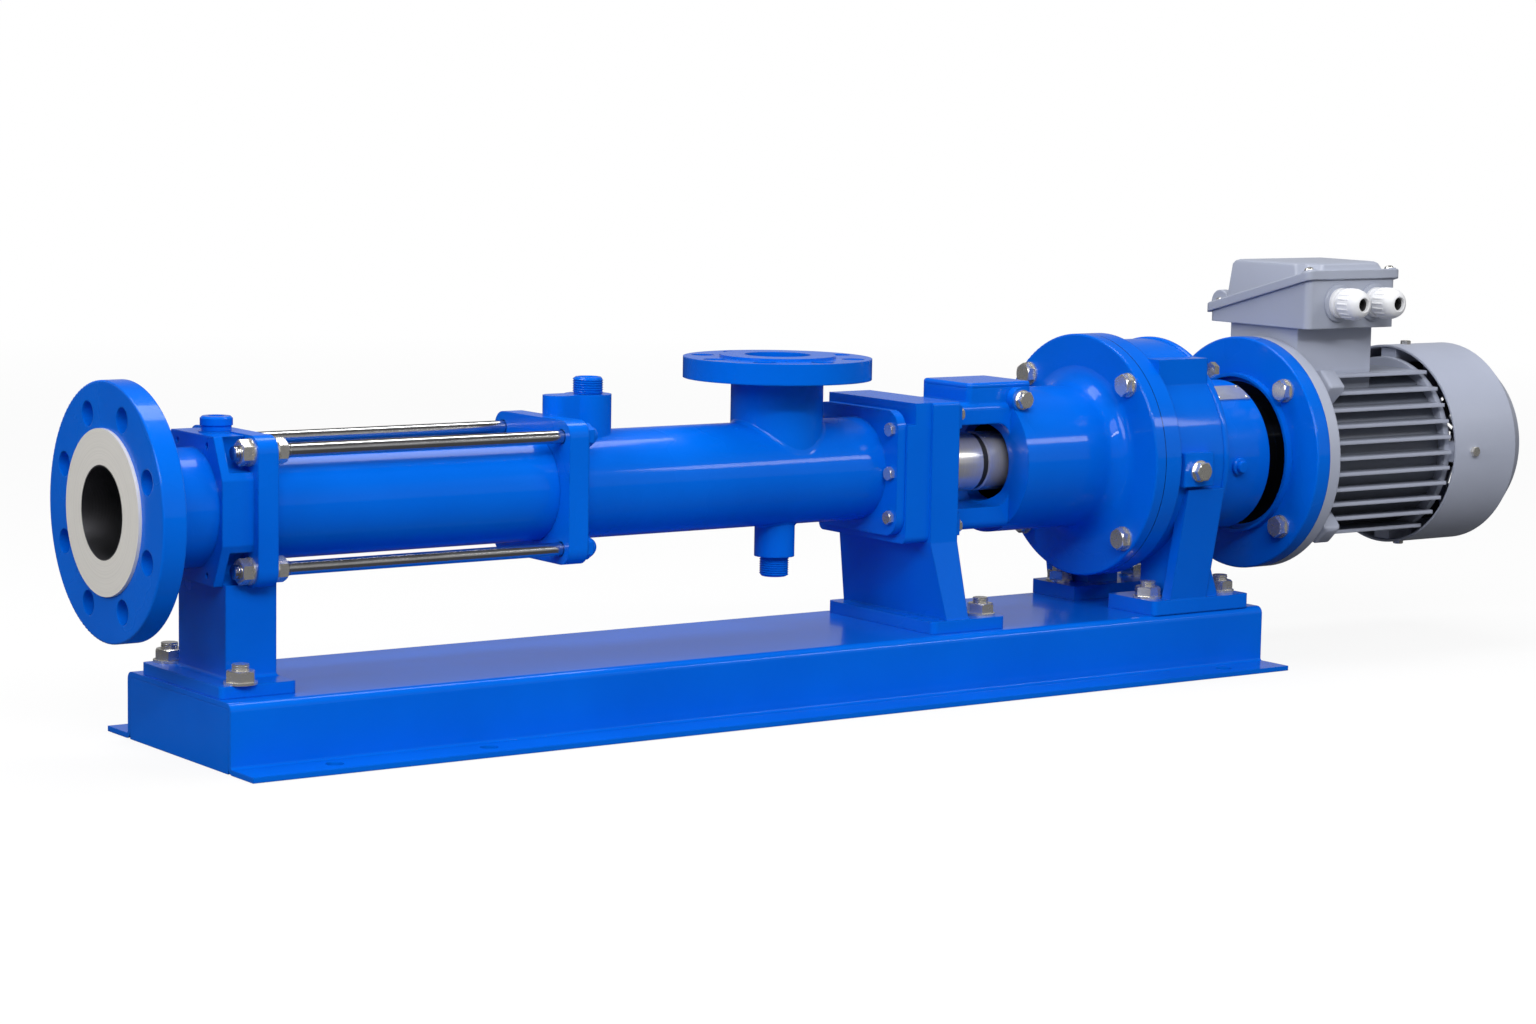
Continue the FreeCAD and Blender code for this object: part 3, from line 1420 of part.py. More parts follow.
def cylinder_along(radius, start, end):
    length = number(end) - number(start)
    place = FreeCAD.Vector(number(start), 0, 0)
    return Part.makeCylinder(number(radius), length, place, FreeCAD.Vector(1, 0, 0))


def make_gears():
    """The wheels and the layshaft: each pinion has a tooth where its wheel has a gap."""
    output_end = "output_wheel_start + output_wheel_width"
    bore = "bearing_bore_radius"
    wheel = toothed_wheel("output_teeth", "output_wheel_start", output_end, bore, 1)
    solid_feature("output_wheel", wheel, "0")
    shaft = cylinder_along("layshaft_radius", "lantern_end + 2", "gear_drum_end - 2")
    pinion = toothed_wheel("pinion_teeth", "output_wheel_start - 1", output_end + " + 1", "", 0)
    solid_feature("layshaft", shaft.fuse(pinion).removeSplitter(), "layshaft_level")
    bore = "layshaft_radius"
    wheel = toothed_wheel("input_wheel_teeth", "input_wheel_start", "input_wheel_end", bore, 0)
    solid_feature("layshaft_wheel", wheel, "layshaft_level")


def make_bearing_plate():
    """The plate inside the drum that carries the pump end of the layshaft."""
    plate = Body("gear_bearing_plate")
    plate.along([circle("0", "0", "gear_drum_radius - gear_wall - seat_clearance")], "lantern_end",
                "lantern_end + 9")
    hub = [circle("0", "0", "bearing_bore_radius + 2")]
    plate.cut_along(hub, "lantern_end - 1", "lantern_end + 10")
    seat = [circle("0", "layshaft_level", "layshaft_bearing_radius + seat_clearance / 2")]
    plate.cut_along(seat, "lantern_end + 1", "lantern_end + 10")
    plate.done()


def make_gear_housing():
    housing = Body("gear_housing")
    cavity = "gear_drum_radius - gear_wall"
    housing.turn([
        ("lantern_end", cavity),
        ("lantern_end", "lantern_flange_radius"),
        ("gear_rim_end", "lantern_flange_radius"),
        ("gear_rim_end", "gear_drum_radius"),
        ("gear_drum_end", "gear_drum_radius"),
        ("gear_drum_end", cavity),
    ])
    half = "gear_leg_half_width"
    shoulder = "gear_drum_radius + 2.5"
    foot_top = "base_top + gear_foot_thickness"
    foot_end = "gear_foot_start + gear_foot_length"
    inner = "gear_foot_inner + 12"
    low = f"{half} - gear_leg_inset"
    skin = [
        (low, "base_top"),
        (shoulder, "0 - gear_leg_top"),
        (f"{shoulder} - gear_leg_skin", "0 - gear_leg_top"),
        (f"{low} - gear_leg_skin", "base_top"),
    ]
    core = [
        (f"{low} - 1", "base_top"),
        (f"{shoulder} - 1", "0 - gear_leg_top - 1"),
        (f"{shoulder} - gear_leg_skin", "0 - gear_leg_top - 1"),
        (inner, "0 - gear_drum_radius * 0.9"),
        (inner, "base_top"),
    ]
    for start, outline in (("gear_leg_start", skin), ("gear_leg_start + gear_leg_relief", core)):
        opposite = [(f"0 - ({across})", up) for across, up in outline]
        housing.along([outline, opposite], start, "gear_drum_end")
    leg_end = "gear_leg_start + gear_leg_length"
    heel = [
        ("gear_drum_end - 1", "base_top"),
        (leg_end, "base_top"),
        (leg_end, f"{foot_top} + 3"),
        ("gear_drum_end", "0 - gear_cover_radius * 0.78"),
        ("gear_drum_end - 1", "0 - gear_cover_radius * 0.78"),
    ]
    housing.pad("XZ_Plane", [heel], "gear_leg_skin", ("0", "0", f"{low} - gear_leg_skin"))
    housing.pad("XZ_Plane", [heel], "gear_leg_skin", ("0", "0", f"0 - ({low})"))
    feet = [
        box("gear_foot_start", "gear_foot_inner", foot_end, half),
        box("gear_foot_start", f"0 - {half}", foot_end, "0 - gear_foot_inner"),
    ]
    housing.pad("XY_Plane", feet, "gear_foot_thickness", ("0", "0", "base_top"))

    def foot_corner(edge):
        place = middle(edge)
        return straight_along(edge, "z") and place.z < number(foot_top) and near(abs(place.y), half)

    housing.fillet("foot_corner", foot_corner)
    lug_low = "gear_lug_level - gear_lug_size / 2"
    lug_left = "0 - gear_lug_half_width - gear_lug_size / 2"
    lug = box(lug_left, lug_low, f"{lug_left} + gear_lug_size", f"{lug_low} + gear_lug_size")
    housing.along([lug], "gear_rim_end - 1", "gear_drum_end")
    pad_start = "gear_rim_end + 4"
    pad_low = "fill_plug_level - 13"
    pad_high = "fill_plug_level + 15"
    pad = box(pad_start, pad_low, f"{pad_start} + 31", pad_high)
    housing.pad("XZ_Plane", [pad], "12", ("0", "0", f"{shoulder} - 8"))
    housing.bore([
        ("lantern_end - 1", "0"),
        ("lantern_end - 1", cavity),
        ("gear_drum_end + 1", cavity),
        ("gear_drum_end + 1", "0"),
    ])
    first = circle(*polar("lantern_bolt_circle", 45), "flange_bolt_radius + hole_clearance")
    pocket = housing.cut_along([first], "lantern_end - 1", "gear_rim_end")
    housing.repeat(pocket, 4)
    holes = []
    for station in ("gear_foot_start + gear_bolt_inset", f"{foot_end} - gear_bolt_inset"):
        holes += two_circles(station, "gear_bolt_half_width", "foot_bolt_radius + hole_clearance")
    depth = "gear_foot_thickness + 2"
    housing.cut("XY_Plane", holes, depth, ("0", "0", f"{foot_top} + 1"))
    first = circle(*polar("cover_bolt_circle", 50), "small_screw_radius + hole_clearance / 4")
    second = circle(*polar("cover_bolt_circle", 130), "small_screw_radius + hole_clearance / 4")
    tapped = housing.cut_along([first, second], "gear_drum_end - 12", "gear_drum_end + 1")
    housing.repeat(tapped, 2)
    tapping = circle("fill_plug_station", "fill_plug_level", "fill_plug_radius + hole_clearance / 4")
    housing.cut("XZ_Plane", [tapping], "8", ("0", "0", f"{shoulder} + 4"))
    housing.done()


def make_gear_cover():
    """The rear cover of the gearbox with the drum around the input shaft."""
    cover = Body("gear_cover")
    inner = "input_drum_radius - input_drum_wall"
    cover.turn([
        ("gear_drum_end", "0"),
        ("gear_drum_end", "gear_cover_radius"),
        ("gear_cover_end", "gear_cover_radius"),
        ("gear_cover_end", "0"),
    ])
    cover.turn([
        ("gear_drum_end + 3", "0"),
        ("gear_drum_end + 3", "input_drum_radius"),
        ("input_drum_end", "input_drum_radius"),
        ("input_drum_end", "0"),
    ], "input_level")

    def cover_rim(edge):
        radius = number("gear_cover_radius")
        front = round_about(edge, number("gear_drum_end"), radius)
        return front or round_about(edge, number("gear_cover_end"), radius)

    def drum_root(edge):
        return round_about(edge, number("gear_cover_end"), number("input_drum_radius"))

    def drum_rim(edge):
        return round_about(edge, number("input_drum_end"), number("input_drum_radius"))

    cover.fillet("2", cover_rim)
    cover.fillet("4", drum_root)
    cover.fillet("2", drum_rim)
    boss_start = "gear_drum_end - gear_boss_length"
    boss = [circle("0", "layshaft_level", "layshaft_bearing_radius + 4")]
    cover.along(boss, boss_start, "gear_drum_end + 1")
    cover.bore([
        ("gear_cover_end + 4", "0"),
        ("gear_cover_end + 4", inner),
        ("input_drum_end - 8", inner),
        ("input_drum_end - 8", "0"),
    ], "input_level")
    hole = [circle("0", "input_level", "motor_shaft_radius + 1")]
    cover.cut_along(hole, "gear_drum_end - 1", "gear_cover_end + 5")
    mouth = [circle("0", "input_level", "adaptor_neck_radius - 12")]
    cover.cut_along(mouth, "input_drum_end - 9", "input_drum_end + 1")
    seat = [circle("0", "layshaft_level", "layshaft_bearing_radius + seat_clearance / 2")]
    cover.cut_along(seat, f"{boss_start} - 1", "gear_drum_end - 1.5")
    first = circle(*polar("cover_bolt_circle", 50), "small_screw_radius + hole_clearance")
    second = circle(*polar("cover_bolt_circle", 130), "small_screw_radius + hole_clearance")
    pocket = cover.cut_along([first, second], "gear_drum_end - 1", "gear_cover_end + 1")
    cover.repeat(pocket, 2)
    cover.done()


def make_nameplate():
    """The bare plate bent to the drum, cut from a thin tube, on the upper near side."""
    outer = rod("plate_outer", "input_drum_radius + nameplate_thickness", "0", "nameplate_length")
    turn = "nameplate_width * 180 / (pi * input_drum_radius)"
    outer.setExpression("Angle", bound(turn))
    plate = pierced("plate_sheet", outer, "input_drum_radius + seat_clearance / 2", "nameplate_length")
    upright = FreeCAD.Rotation(FreeCAD.Vector(1, 0, 0), number(f"0 - 90 - nameplate_tilt - {turn}"))
    plate.Placement = FreeCAD.Placement(FreeCAD.Vector(), upright * LEVEL_AIM)
    keep("nameplate", plate)
    station = "input_drum_end - nameplate_length - nameplate_inset"
    plate.setExpression("Placement.Base.x", bound(f"{station} - datum"))
    plate.setExpression("Placement.Base.z", bound("axis_height + input_level"))


# Motor


def make_motor_adaptor():
    adaptor = Body("motor_adaptor")
    neck = "adaptor_neck_radius"
    bore = "adaptor_neck_radius - 12"
    lip = "adaptor_lip_radius"
    adaptor.turn([
        ("input_drum_end", bore),
        ("input_drum_end", neck),
        ("adaptor_start", neck),
        ("adaptor_start", f"{lip} - 3"),
        ("adaptor_start - 6", f"{lip} - 3"),
        ("adaptor_start - 6", lip),
        ("adaptor_start", lip),
        ("adaptor_start", "motor_flange_radius"),
        ("adaptor_end", "motor_flange_radius"),
        ("adaptor_end", bore),
    ], "input_level")
    first = circle(*polar("motor_bolt_circle", 45, "input_level"), "flange_bolt_radius + hole_clearance")
    pocket = adaptor.cut_along([first], "adaptor_start - 1", "adaptor_end + 1")
    adaptor.repeat(pocket, 4, "input_level")

    def rim(edge):
        return round_about(edge, number("adaptor_start"), number("motor_flange_radius"))

    adaptor.fillet("casting_edge", rim)
    adaptor.done()


def make_motor_flange():
    flange = Body("motor_flange")
    bore = "adaptor_neck_radius - 12"
    flange.turn([
        ("adaptor_end", bore),
        ("adaptor_end", "motor_flange_radius"),
        ("motor_flange_end", "motor_flange_radius"),
        ("motor_flange_end", bore),
    ], "input_level")
    first = circle(*polar("motor_bolt_circle", 45, "input_level"), "flange_bolt_radius + hole_clearance")
    pocket = flange.cut_along([first], "adaptor_end - 1", "motor_flange_end + 1")
    flange.repeat(pocket, 4, "input_level")

    def rim(edge):
        return round_about(edge, number("motor_flange_end"), number("motor_flange_radius"))

    flange.fillet("casting_edge", rim)
    flange.done()


def make_motor_frame():
    """The frame: a tube with level fins whose tips lie on a circle."""
    frame = Body("motor_frame")
    end = "motor_frame_end - 6"
    frame.turn([
        ("motor_flange_end", "motor_frame_bore"),
        ("motor_flange_end", "motor_frame_radius"),
        (end, "motor_frame_radius"),
        (end, "motor_frame_bore"),
    ], "input_level")
    fins = []
    half = "fin_thickness / 2"
    for count in range(-5, 6):
        level = f"(input_level + {count} * fin_pitch)"
        reach = f"sqrt(fin_radius ^ 2 - ({abs(count)} * fin_pitch) ^ 2)"
        fins.append(box(f"0 - {reach}", f"{level} - {half}", reach, f"{level} + {half}"))
    frame.along(fins, "motor_flange_end + fin_inset", end)
    neck_half = "terminal_half_width - 20"
    neck = box(f"0 - ({neck_half})", "input_level", neck_half, "terminal_floor")
    frame.along([neck], "terminal_start + 8", "terminal_end - 8")
    frame.bore([
        ("motor_flange_end - 1", "0"),
        ("motor_flange_end - 1", "motor_frame_bore"),
        ("motor_frame_end", "motor_frame_bore"),
        ("motor_frame_end", "0"),
    ], "input_level")
    frame.done()


def make_fan_cover():
    cover = Body("fan_cover")
    outer = "fan_cover_radius"
    inner = "fan_cover_radius - fan_cover_sheet"
    start = "motor_frame_end - 3"
    cover.turn([
        (start, inner),
        (start, outer),
        ("fan_cover_end - 28", outer),
        ("fan_cover_end - 8", f"{outer} - 14"),
        ("fan_cover_end", f"{outer} - 36"),
        ("fan_cover_end", "0"),
        ("fan_cover_end - fan_cover_sheet", "0"),
        ("fan_cover_end - fan_cover_sheet", f"{inner} - 35.2"),
        ("fan_cover_end - fan_cover_sheet - 7.4", f"{inner} - 13.2"),
        ("fan_cover_end - 28.6", inner),
    ], "input_level")
    slot = box("0 - 2", "input_level + 16", "2", "input_level + 46")
    pocket = cover.cut_along([slot], "fan_cover_end - 5", "fan_cover_end + 1")
    cover.repeat(pocket, 18, "input_level")
    screw = circle("motor_frame_end + cover_screw_distance", "0", "cover_screw_radius + hole_clearance")
    pocket = cover.cut("XY_Plane", [screw], "8", ("0", "0", f"input_level + {outer} + 1"))
    cover.repeat(pocket, 4, "input_level")
    cover.done()


def make_motor_insides():
    level = "input_level"
    core_start = "motor_flange_end + 30"
    core_end = "motor_frame_end - 36"
    gap = "motor_rotor_radius + motor_air_gap"
    make_ring("motor_stator_core", [(core_start, core_end, gap, "motor_frame_bore", level)])
    winding_inner = "motor_rotor_radius + 4"
    winding_outer = "motor_frame_bore - 4"
    make_ring("motor_windings", [
        (f"{core_start} - 16", core_start, winding_inner, winding_outer, level),
        (core_end, f"{core_end} + 16", winding_inner, winding_outer, level),
    ])
    rotor_bore = "motor_shaft_radius"
    make_ring("motor_rotor", [(core_start, core_end, rotor_bore, "motor_rotor_radius", level)])
    nose = cylinder_along("layshaft_radius", "input_wheel_start - 2", "input_wheel_end + 2")
    shaft = cylinder_along("motor_shaft_radius", "input_wheel_end + 2", "motor_frame_end + 44")
    pinion = toothed_wheel("pinion_teeth", "input_wheel_start - 1", "input_wheel_end + 1", "", 1)
    solid_feature("motor_shaft", shaft.fuse([nose, pinion]).removeSplitter(), level)


def make_end_shields():
    """The rear shield with its four lugs that carry the fan cover, and the motor's bearings."""
    level = "input_level"
    start = "motor_frame_end - 6"
    lug_end = "motor_frame_end + cover_screw_distance + 7"
    shield = Body("motor_end_shield")
    shield.turn([
        (f"{start} - 12", "rear_bearing_radius + seat_clearance"),
        (f"{start} - 12", "rear_bearing_radius + 6"),
        (start, "rear_bearing_radius + 6"),
        (start, "motor_frame_radius + 8"),
        ("motor_frame_end", "motor_frame_radius + 8"),
        ("motor_frame_end", "rear_bearing_radius + seat_clearance"),
    ], level)
    reach = "fan_cover_radius - fan_cover_sheet - seat_clearance"
    inner = "motor_frame_radius + 4"
    lug = box("0 - 9", f"{level} + {inner}", "9", f"{level} + sqrt(({reach}) ^ 2 - 81)")
    feature = shield.along([lug], "motor_frame_end - 1", lug_end)
    shield.repeat(feature, 4, level)
    tapping = circle("motor_frame_end + cover_screw_distance", "0", "cover_screw_radius + hole_clearance / 4")
    feature = shield.cut("XY_Plane", [tapping], "14", ("0", "0", f"{level} + {reach} + 1"))
    shield.repeat(feature, 4, level)
    shield.done()
    bore = "motor_shaft_radius + running_clearance"
    front = "adaptor_neck_radius - 12 - seat_clearance"
    make_ring("motor_bearings", [
        ("adaptor_end - 8", "adaptor_end + 8", bore, front, level),
        ("motor_frame_end - 14", "motor_frame_end", bore, "rear_bearing_radius", level),
    ])


def make_fan():
    fan = Body("fan")
    start = "motor_frame_end + 18"
    end = f"{start} + 24"
    fan.turn([
        (start, "motor_shaft_radius"),
        (start, "58"),
        (f"{start} + 3", "58"),
        (f"{start} + 3", "24"),
        (end, "24"),
        (end, "motor_shaft_radius"),
    ], "input_level")
    blade = box("0 - 1.5", "input_level + 20", "1.5", "input_level + 72")
    feature = fan.along([blade], start, end)
    fan.repeat(feature, 7, "input_level")
    fan.done()


# Terminal box


def make_terminal_box():
    terminal = Body("terminal_box")
    half = "terminal_half_width"
    profile = [
        (f"0 - {half}", "terminal_floor"),
        (half, "terminal_floor"),
        (half, "terminal_far_level"),
        (f"0 - {half}", "terminal_near_level"),
    ]
    terminal.along([profile], "terminal_start", "terminal_end")

    def upright(edge):
        return straight_along(edge, "z")

    terminal.fillet("6", upright)
    inside = "(terminal_half_width - terminal_wall)"
    hollow = [
        (f"0 - {inside}", "terminal_floor + terminal_wall"),
        (inside, "terminal_floor + terminal_wall"),
        (inside, "terminal_near_level + 1"),
        (f"0 - {inside}", "terminal_near_level + 1"),
    ]
    terminal.cut_along([hollow], "terminal_start + terminal_wall", "terminal_end - terminal_wall")
    bores = []
    for side in ("0 - gland_spacing / 2", "gland_spacing / 2"):
        station = f"(terminal_start + terminal_end) / 2 + 4 + {side}"
        bores.append(circle(station, "gland_level", "gland_radius * 0.7"))
    terminal.cut("XZ_Plane", bores, "16", ("0", "0", half))
    terminal.done()


def make_terminal_lid():
    lid = Body("terminal_lid")
    half = "(terminal_half_width + 3)"
    slope = "(terminal_near_level - terminal_far_level) / (2 * terminal_half_width)"
    near_low = f"terminal_near_level + 3 * {slope}"
    far_low = f"terminal_far_level - 3 * {slope}"
    rim = [
        (f"0 - {half}", near_low),
        (half, far_low),
        (half, f"{far_low} + 8"),
        (f"0 - {half}", f"{near_low} + 8"),
    ]
    lid.along([rim], "terminal_start - 3", "terminal_end + 3")
    dome = [
        ("0 - terminal_half_width + 6", "terminal_near_level + 4"),
        ("terminal_half_width - 4", "terminal_far_level + 4"),
        ("terminal_half_width - 10", "lid_level - 4"),
        ("terminal_half_width - 18", "lid_level"),
        ("0 - terminal_half_width + 20", "lid_level"),
        ("0 - terminal_half_width + 8", "lid_level - 5"),
    ]
    lid.along([dome], "terminal_start + 2", "terminal_end - 2")
    lid.done()


def make_glands():
    places = []
    for side in ("0 - gland_spacing / 2", "gland_spacing / 2"):
        station = f"(terminal_start + terminal_end) / 2 + 4 + {side}"
        places.append(("near", (station, "0 - terminal_half_width", "gland_level")))
    collar = hexagon("gland_collar", "gland_radius * 1.9", "0", "7")
    body = rod("gland_body", "gland_radius * 0.9", "7", "8")
    cap = rod("gland_cap", "gland_radius", "15", "17")
    stem = rod("gland_stem", "gland_radius * 0.7 - seat_clearance", "0 - 10", "10")
    solid = joined("gland_solid", [collar, body, cap, stem])
    dome = doc.addObject("Part::Fillet", "gland_dome")
    dome.Base = solid
    doc.recompute()
    edges = []
    for index, edge in enumerate(solid.Shape.Edges, 1):
        if edge.Curve.TypeId == "Part::GeomCircle" and near(edge.Curve.Center.z, "32"):
            edges.append((index, 6.0, 6.0))
    dome.Edges = edges
    bore = rod("gland_bore", "gland_radius * 0.38", "0 - 11", "45")
    template = doc.addObject("Part::Cut", "gland")
    template.Base = dome
    template.Tool = bore
    group("cable_glands", template, places)


# Fasteners


def foot_bolt(name, grip):
    """A bolt with its head under the sheet, its stud end standing above the nut and washer."""
    radius = "foot_bolt_radius"
    stud = bolt(name + "_upper", radius, grip, stud="foot_stud_height")
    head = rounded_hexagon(name + "_low_head", f"{radius} * 3", "0", f"{radius} * 1.2")
    head.Placement = FreeCAD.Placement(FreeCAD.Vector(), AIMS["down"])
    head.setExpression("Placement.Base.z", bound(f"0 - ({grip})"))
    return joined(name, [stud, head])


def make_fasteners():
    entries = []
    for count, (station, half_width, thickness) in enumerate(foot_bolt_places()):
        template = foot_bolt(f"foot_bolt_{count}", f"{thickness} + base_sheet")
        for side in (half_width, f"0 - ({half_width})"):
            entries.append((template, "up", (station, side, f"base_top + {thickness}")))
    gathered("foot_bolts", entries)
    small = bolt("casing_screw", "small_screw_radius", "20", washer=False)
    places = []
    for side in ("casing_screw_half_width", "0 - casing_screw_half_width"):
        for level in ("casing_screw_pitch", "0", "0 - casing_screw_pitch"):
            places.append(("back", ("casing_flange_start", side, level)))
    group("casing_flange_screws", small, places)
    places = []
    for side in ("lantern_screw_half_width", "0 - lantern_screw_half_width"):
        for level in ("lantern_screw_level", "0 - lantern_screw_level"):
            places.append(("ahead", ("bracket_end + 7", side, level)))
    small = bolt("lantern_screw", "small_screw_radius", "20", washer=False)
    group("lantern_screws", small, places)
    places = []
    for degrees in (45, 135, 225, 315):
        across, up = polar("lantern_bolt_circle", degrees)
        places.append(("back", ("lantern_flange_start", across, up)))
    group("lantern_flange_bolts", bolt("lantern_bolt", "flange_bolt_radius", "24"), places)
    places = []
    for degrees in (50, 130, 230, 310):
        across, up = polar("cover_bolt_circle", degrees)
        places.append(("ahead", ("gear_cover_end", across, up)))
    small = bolt("cover_bolt", "small_screw_radius", "16", washer=False)
    group("gear_cover_bolts", small, places)
    length = "adaptor_thickness + motor_flange_thickness + 10"
    screw = bolt("motor_bolt", "flange_bolt_radius", length)
    nut_body = rounded_hexagon("motor_nut_body", "16", "0", "8")
    nut = pierced("motor_nut", nut_body, "flange_bolt_radius + running_clearance", "8")
    entries = []
    for degrees in (45, 135, 225, 315):
        across, up = polar("motor_bolt_circle", degrees, "input_level")
        entries.append((screw, "back", ("adaptor_start", across, up)))
        entries.append((nut, "ahead", ("motor_flange_end", across, up)))
    gathered("motor_flange_bolts", entries)
    station = "motor_frame_end + cover_screw_distance"
    low = "input_level - fan_cover_radius"
    high = "input_level + fan_cover_radius"
    places = [
        ("near", (station, "0 - fan_cover_radius", "input_level")),
        ("far", (station, "fan_cover_radius", "input_level")),
        ("up", (station, "0", high)),
        ("down", (station, "0", low)),
    ]
    small = bolt("fan_screw", "cover_screw_radius", "8", washer=False)
    group("fan_cover_screws", small, places)
    lug_place = ("lantern_lug_station", "0 - lantern_lug_half_width", "lantern_lug_level")
    group("lantern_cover_bolt", bolt("lug_bolt", "lug_bolt_radius", "10"), [("near", lug_place)])
    place = ("fill_plug_station", "0 - (gear_drum_radius + 6.5)", "fill_plug_level")
    group("gear_fill_plug", bolt("fill_plug", "fill_plug_radius", "6"), [("near", place)])


def make_all():
    make_baseplate()
    make_base_end_plate("base_end_plate_pump", "base_start")
    make_base_end_plate("base_end_plate_drive", "base_start + base_length - base_sheet")
    make_discharge_casing()
    make_discharge_liner()
    make_vent_plug()
    make_tie_rods()
    make_tie_rod_nuts()
    make_cap_nuts()
    make_stator_tube()
    make_stator_rubber()
    make_rotor()
    make_joint_sleeve("rotor_joint_sleeve", "rotor_ball_station", "0 - rotor_offset")
    make_coupling_rod()
    make_joint_sleeve("shaft_joint_sleeve", "shaft_ball_station", "0")
    make_suction_casing()
    make_pipe_plug("casing_pipe_plug", "boss_station", "boss_level", "boss_level + pipe_plug_height")
    make_pipe_plug("drain_pipe_plug", "suction_station", "0 - drain_level",
                   "0 - drain_level - pipe_plug_height - 3")
    make_seal_bracket()
    make_seal_seat()
    make_seal_ring()
    make_plug_shaft()
    make_output_shaft()
    bore = "bearing_bore_radius + running_clearance"
    start = "output_bearing_end - bearing_width"
    middle_start = "output_bearing_middle - bearing_width"
    make_ring("output_bearings", [
        (start, "output_bearing_end", bore, "bearing_radius", "0"),
        (middle_start, "output_bearing_middle", bore, "bearing_radius", "0"),
    ])
    seal_bore = "shaft_radius + running_clearance"
    seal_end = "oil_seal_start + oil_seal_width"
    make_ring("gear_oil_seal", [("oil_seal_start", seal_end, seal_bore, "oil_seal_radius", "0")])
    make_lantern()
    make_lantern_cover()
    make_gears()
    make_bearing_plate()
    make_gear_housing()
    make_gear_cover()
    make_nameplate()
    lay_bore = "layshaft_radius + running_clearance"
    make_ring("layshaft_bearings", [
        ("lantern_end + 1.5", "lantern_end + 8.5", lay_bore, "layshaft_bearing_radius", "layshaft_level"),
        ("gear_drum_end - 10", "gear_drum_end - 2", lay_bore, "layshaft_bearing_radius", "layshaft_level"),
    ])
    make_motor_adaptor()
    make_motor_flange()
    make_motor_frame()
    make_motor_insides()
    make_end_shields()
    make_fan()
    make_fan_cover()
    make_terminal_box()
    make_terminal_lid()
    make_glands()
    make_fasteners()


def write_pieces():
    doc.recompute()
    for item in doc.Objects:
        if "Invalid" in item.State or "Error" in item.State:
            raise RuntimeError(f"{item.Name} failed: {item.State}")
    os.makedirs("parts", exist_ok=True)
    for label, item in pieces.items():
        shape = item.Shape
        if shape.isNull() or not shape.isValid() or not shape.Solids:
            raise RuntimeError(f"{label} has no valid solid")
        shape.exportStep(f"parts/{label}.step")
        box_of = shape.BoundBox
        print(f"{label:26s} solids {len(shape.Solids):3d} volume {shape.Volume:12.1f}"
              f" x {box_of.XMin:8.1f} {box_of.XMax:8.1f} z {box_of.ZMin:8.1f} {box_of.ZMax:8.1f}")
    print(len(pieces), "pieces")


make_all()
write_pieces()
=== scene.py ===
# %% [markdown]
# # A progressive cavity pump, dressed for a studio picture
# The solids of the pump come from its CAD model and are never moved here.  This lesson gives
# them paint, bare metal and rubber, adds the small things that a CAD model leaves out, such as
# threads and recessed screws, and sets up the camera and the light.

# %% Load the frame
import bpy
import math
from mathutils import Matrix, Vector


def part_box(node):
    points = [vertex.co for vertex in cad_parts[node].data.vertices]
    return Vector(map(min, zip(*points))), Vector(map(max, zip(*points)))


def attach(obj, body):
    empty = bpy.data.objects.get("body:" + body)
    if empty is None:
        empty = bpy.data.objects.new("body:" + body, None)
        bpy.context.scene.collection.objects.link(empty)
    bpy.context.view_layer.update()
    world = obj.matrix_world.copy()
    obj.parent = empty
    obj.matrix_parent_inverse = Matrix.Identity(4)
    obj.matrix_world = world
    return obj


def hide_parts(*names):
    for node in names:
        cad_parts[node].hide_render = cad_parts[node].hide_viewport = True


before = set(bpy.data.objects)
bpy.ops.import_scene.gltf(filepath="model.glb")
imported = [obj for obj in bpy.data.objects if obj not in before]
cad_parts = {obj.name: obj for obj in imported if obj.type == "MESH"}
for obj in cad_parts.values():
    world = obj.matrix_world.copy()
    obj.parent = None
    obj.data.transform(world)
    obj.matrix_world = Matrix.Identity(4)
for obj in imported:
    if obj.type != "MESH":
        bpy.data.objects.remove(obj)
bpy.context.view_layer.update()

MM = 0.001

# %% [markdown]
# ## Places along the pump
# The CAD model measures along the pump's axis from the face of the discharge flange, and up from
# that axis.  A short helper turns such a place, in millimetres, into Blender's metres, so that the
# sizes below can be read against a drawing of the pump.

# %% From a station on the axis to a place in the scene
flange_low, flange_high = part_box("discharge_liner")
AXIS_LEVEL = (flange_low.z + flange_high.z) / 2
FACE_STATION = flange_low.x


def place(station, across, level):
    """A place in the scene, from millimetres along the pump, across it and above its axis."""
    return Vector((FACE_STATION + station * MM, across * MM, AXIS_LEVEL + level * MM))


print("axis level", round(AXIS_LEVEL, 4), "flange face at", round(FACE_STATION, 4))

# %% [markdown]
# ## The camera
# The picture was taken from the left of the discharge flange with a long lens, a little above the
# pump.  The camera's place and angles below were worked out from the pump's own edges, and a lens
# longer than 80 mm on a 36 mm sensor keeps the flanges' ellipses as narrow as in the picture.

# %% Set the camera
camera_data = bpy.data.cameras.new("camera")
camera = bpy.data.objects.new("camera", camera_data)
bpy.context.scene.collection.objects.link(camera)
bpy.context.scene.camera = camera

CAMERA_PLACE = (-1065.24, -2294.16, 306.91)
CAMERA_YAW = math.radians(35.486)
CAMERA_PITCH = math.radians(6.838)
CAMERA_ROLL = math.radians(1.006)

camera_data.sensor_width = 36.0
camera_data.lens = 84.246
camera_data.clip_end = 50.0

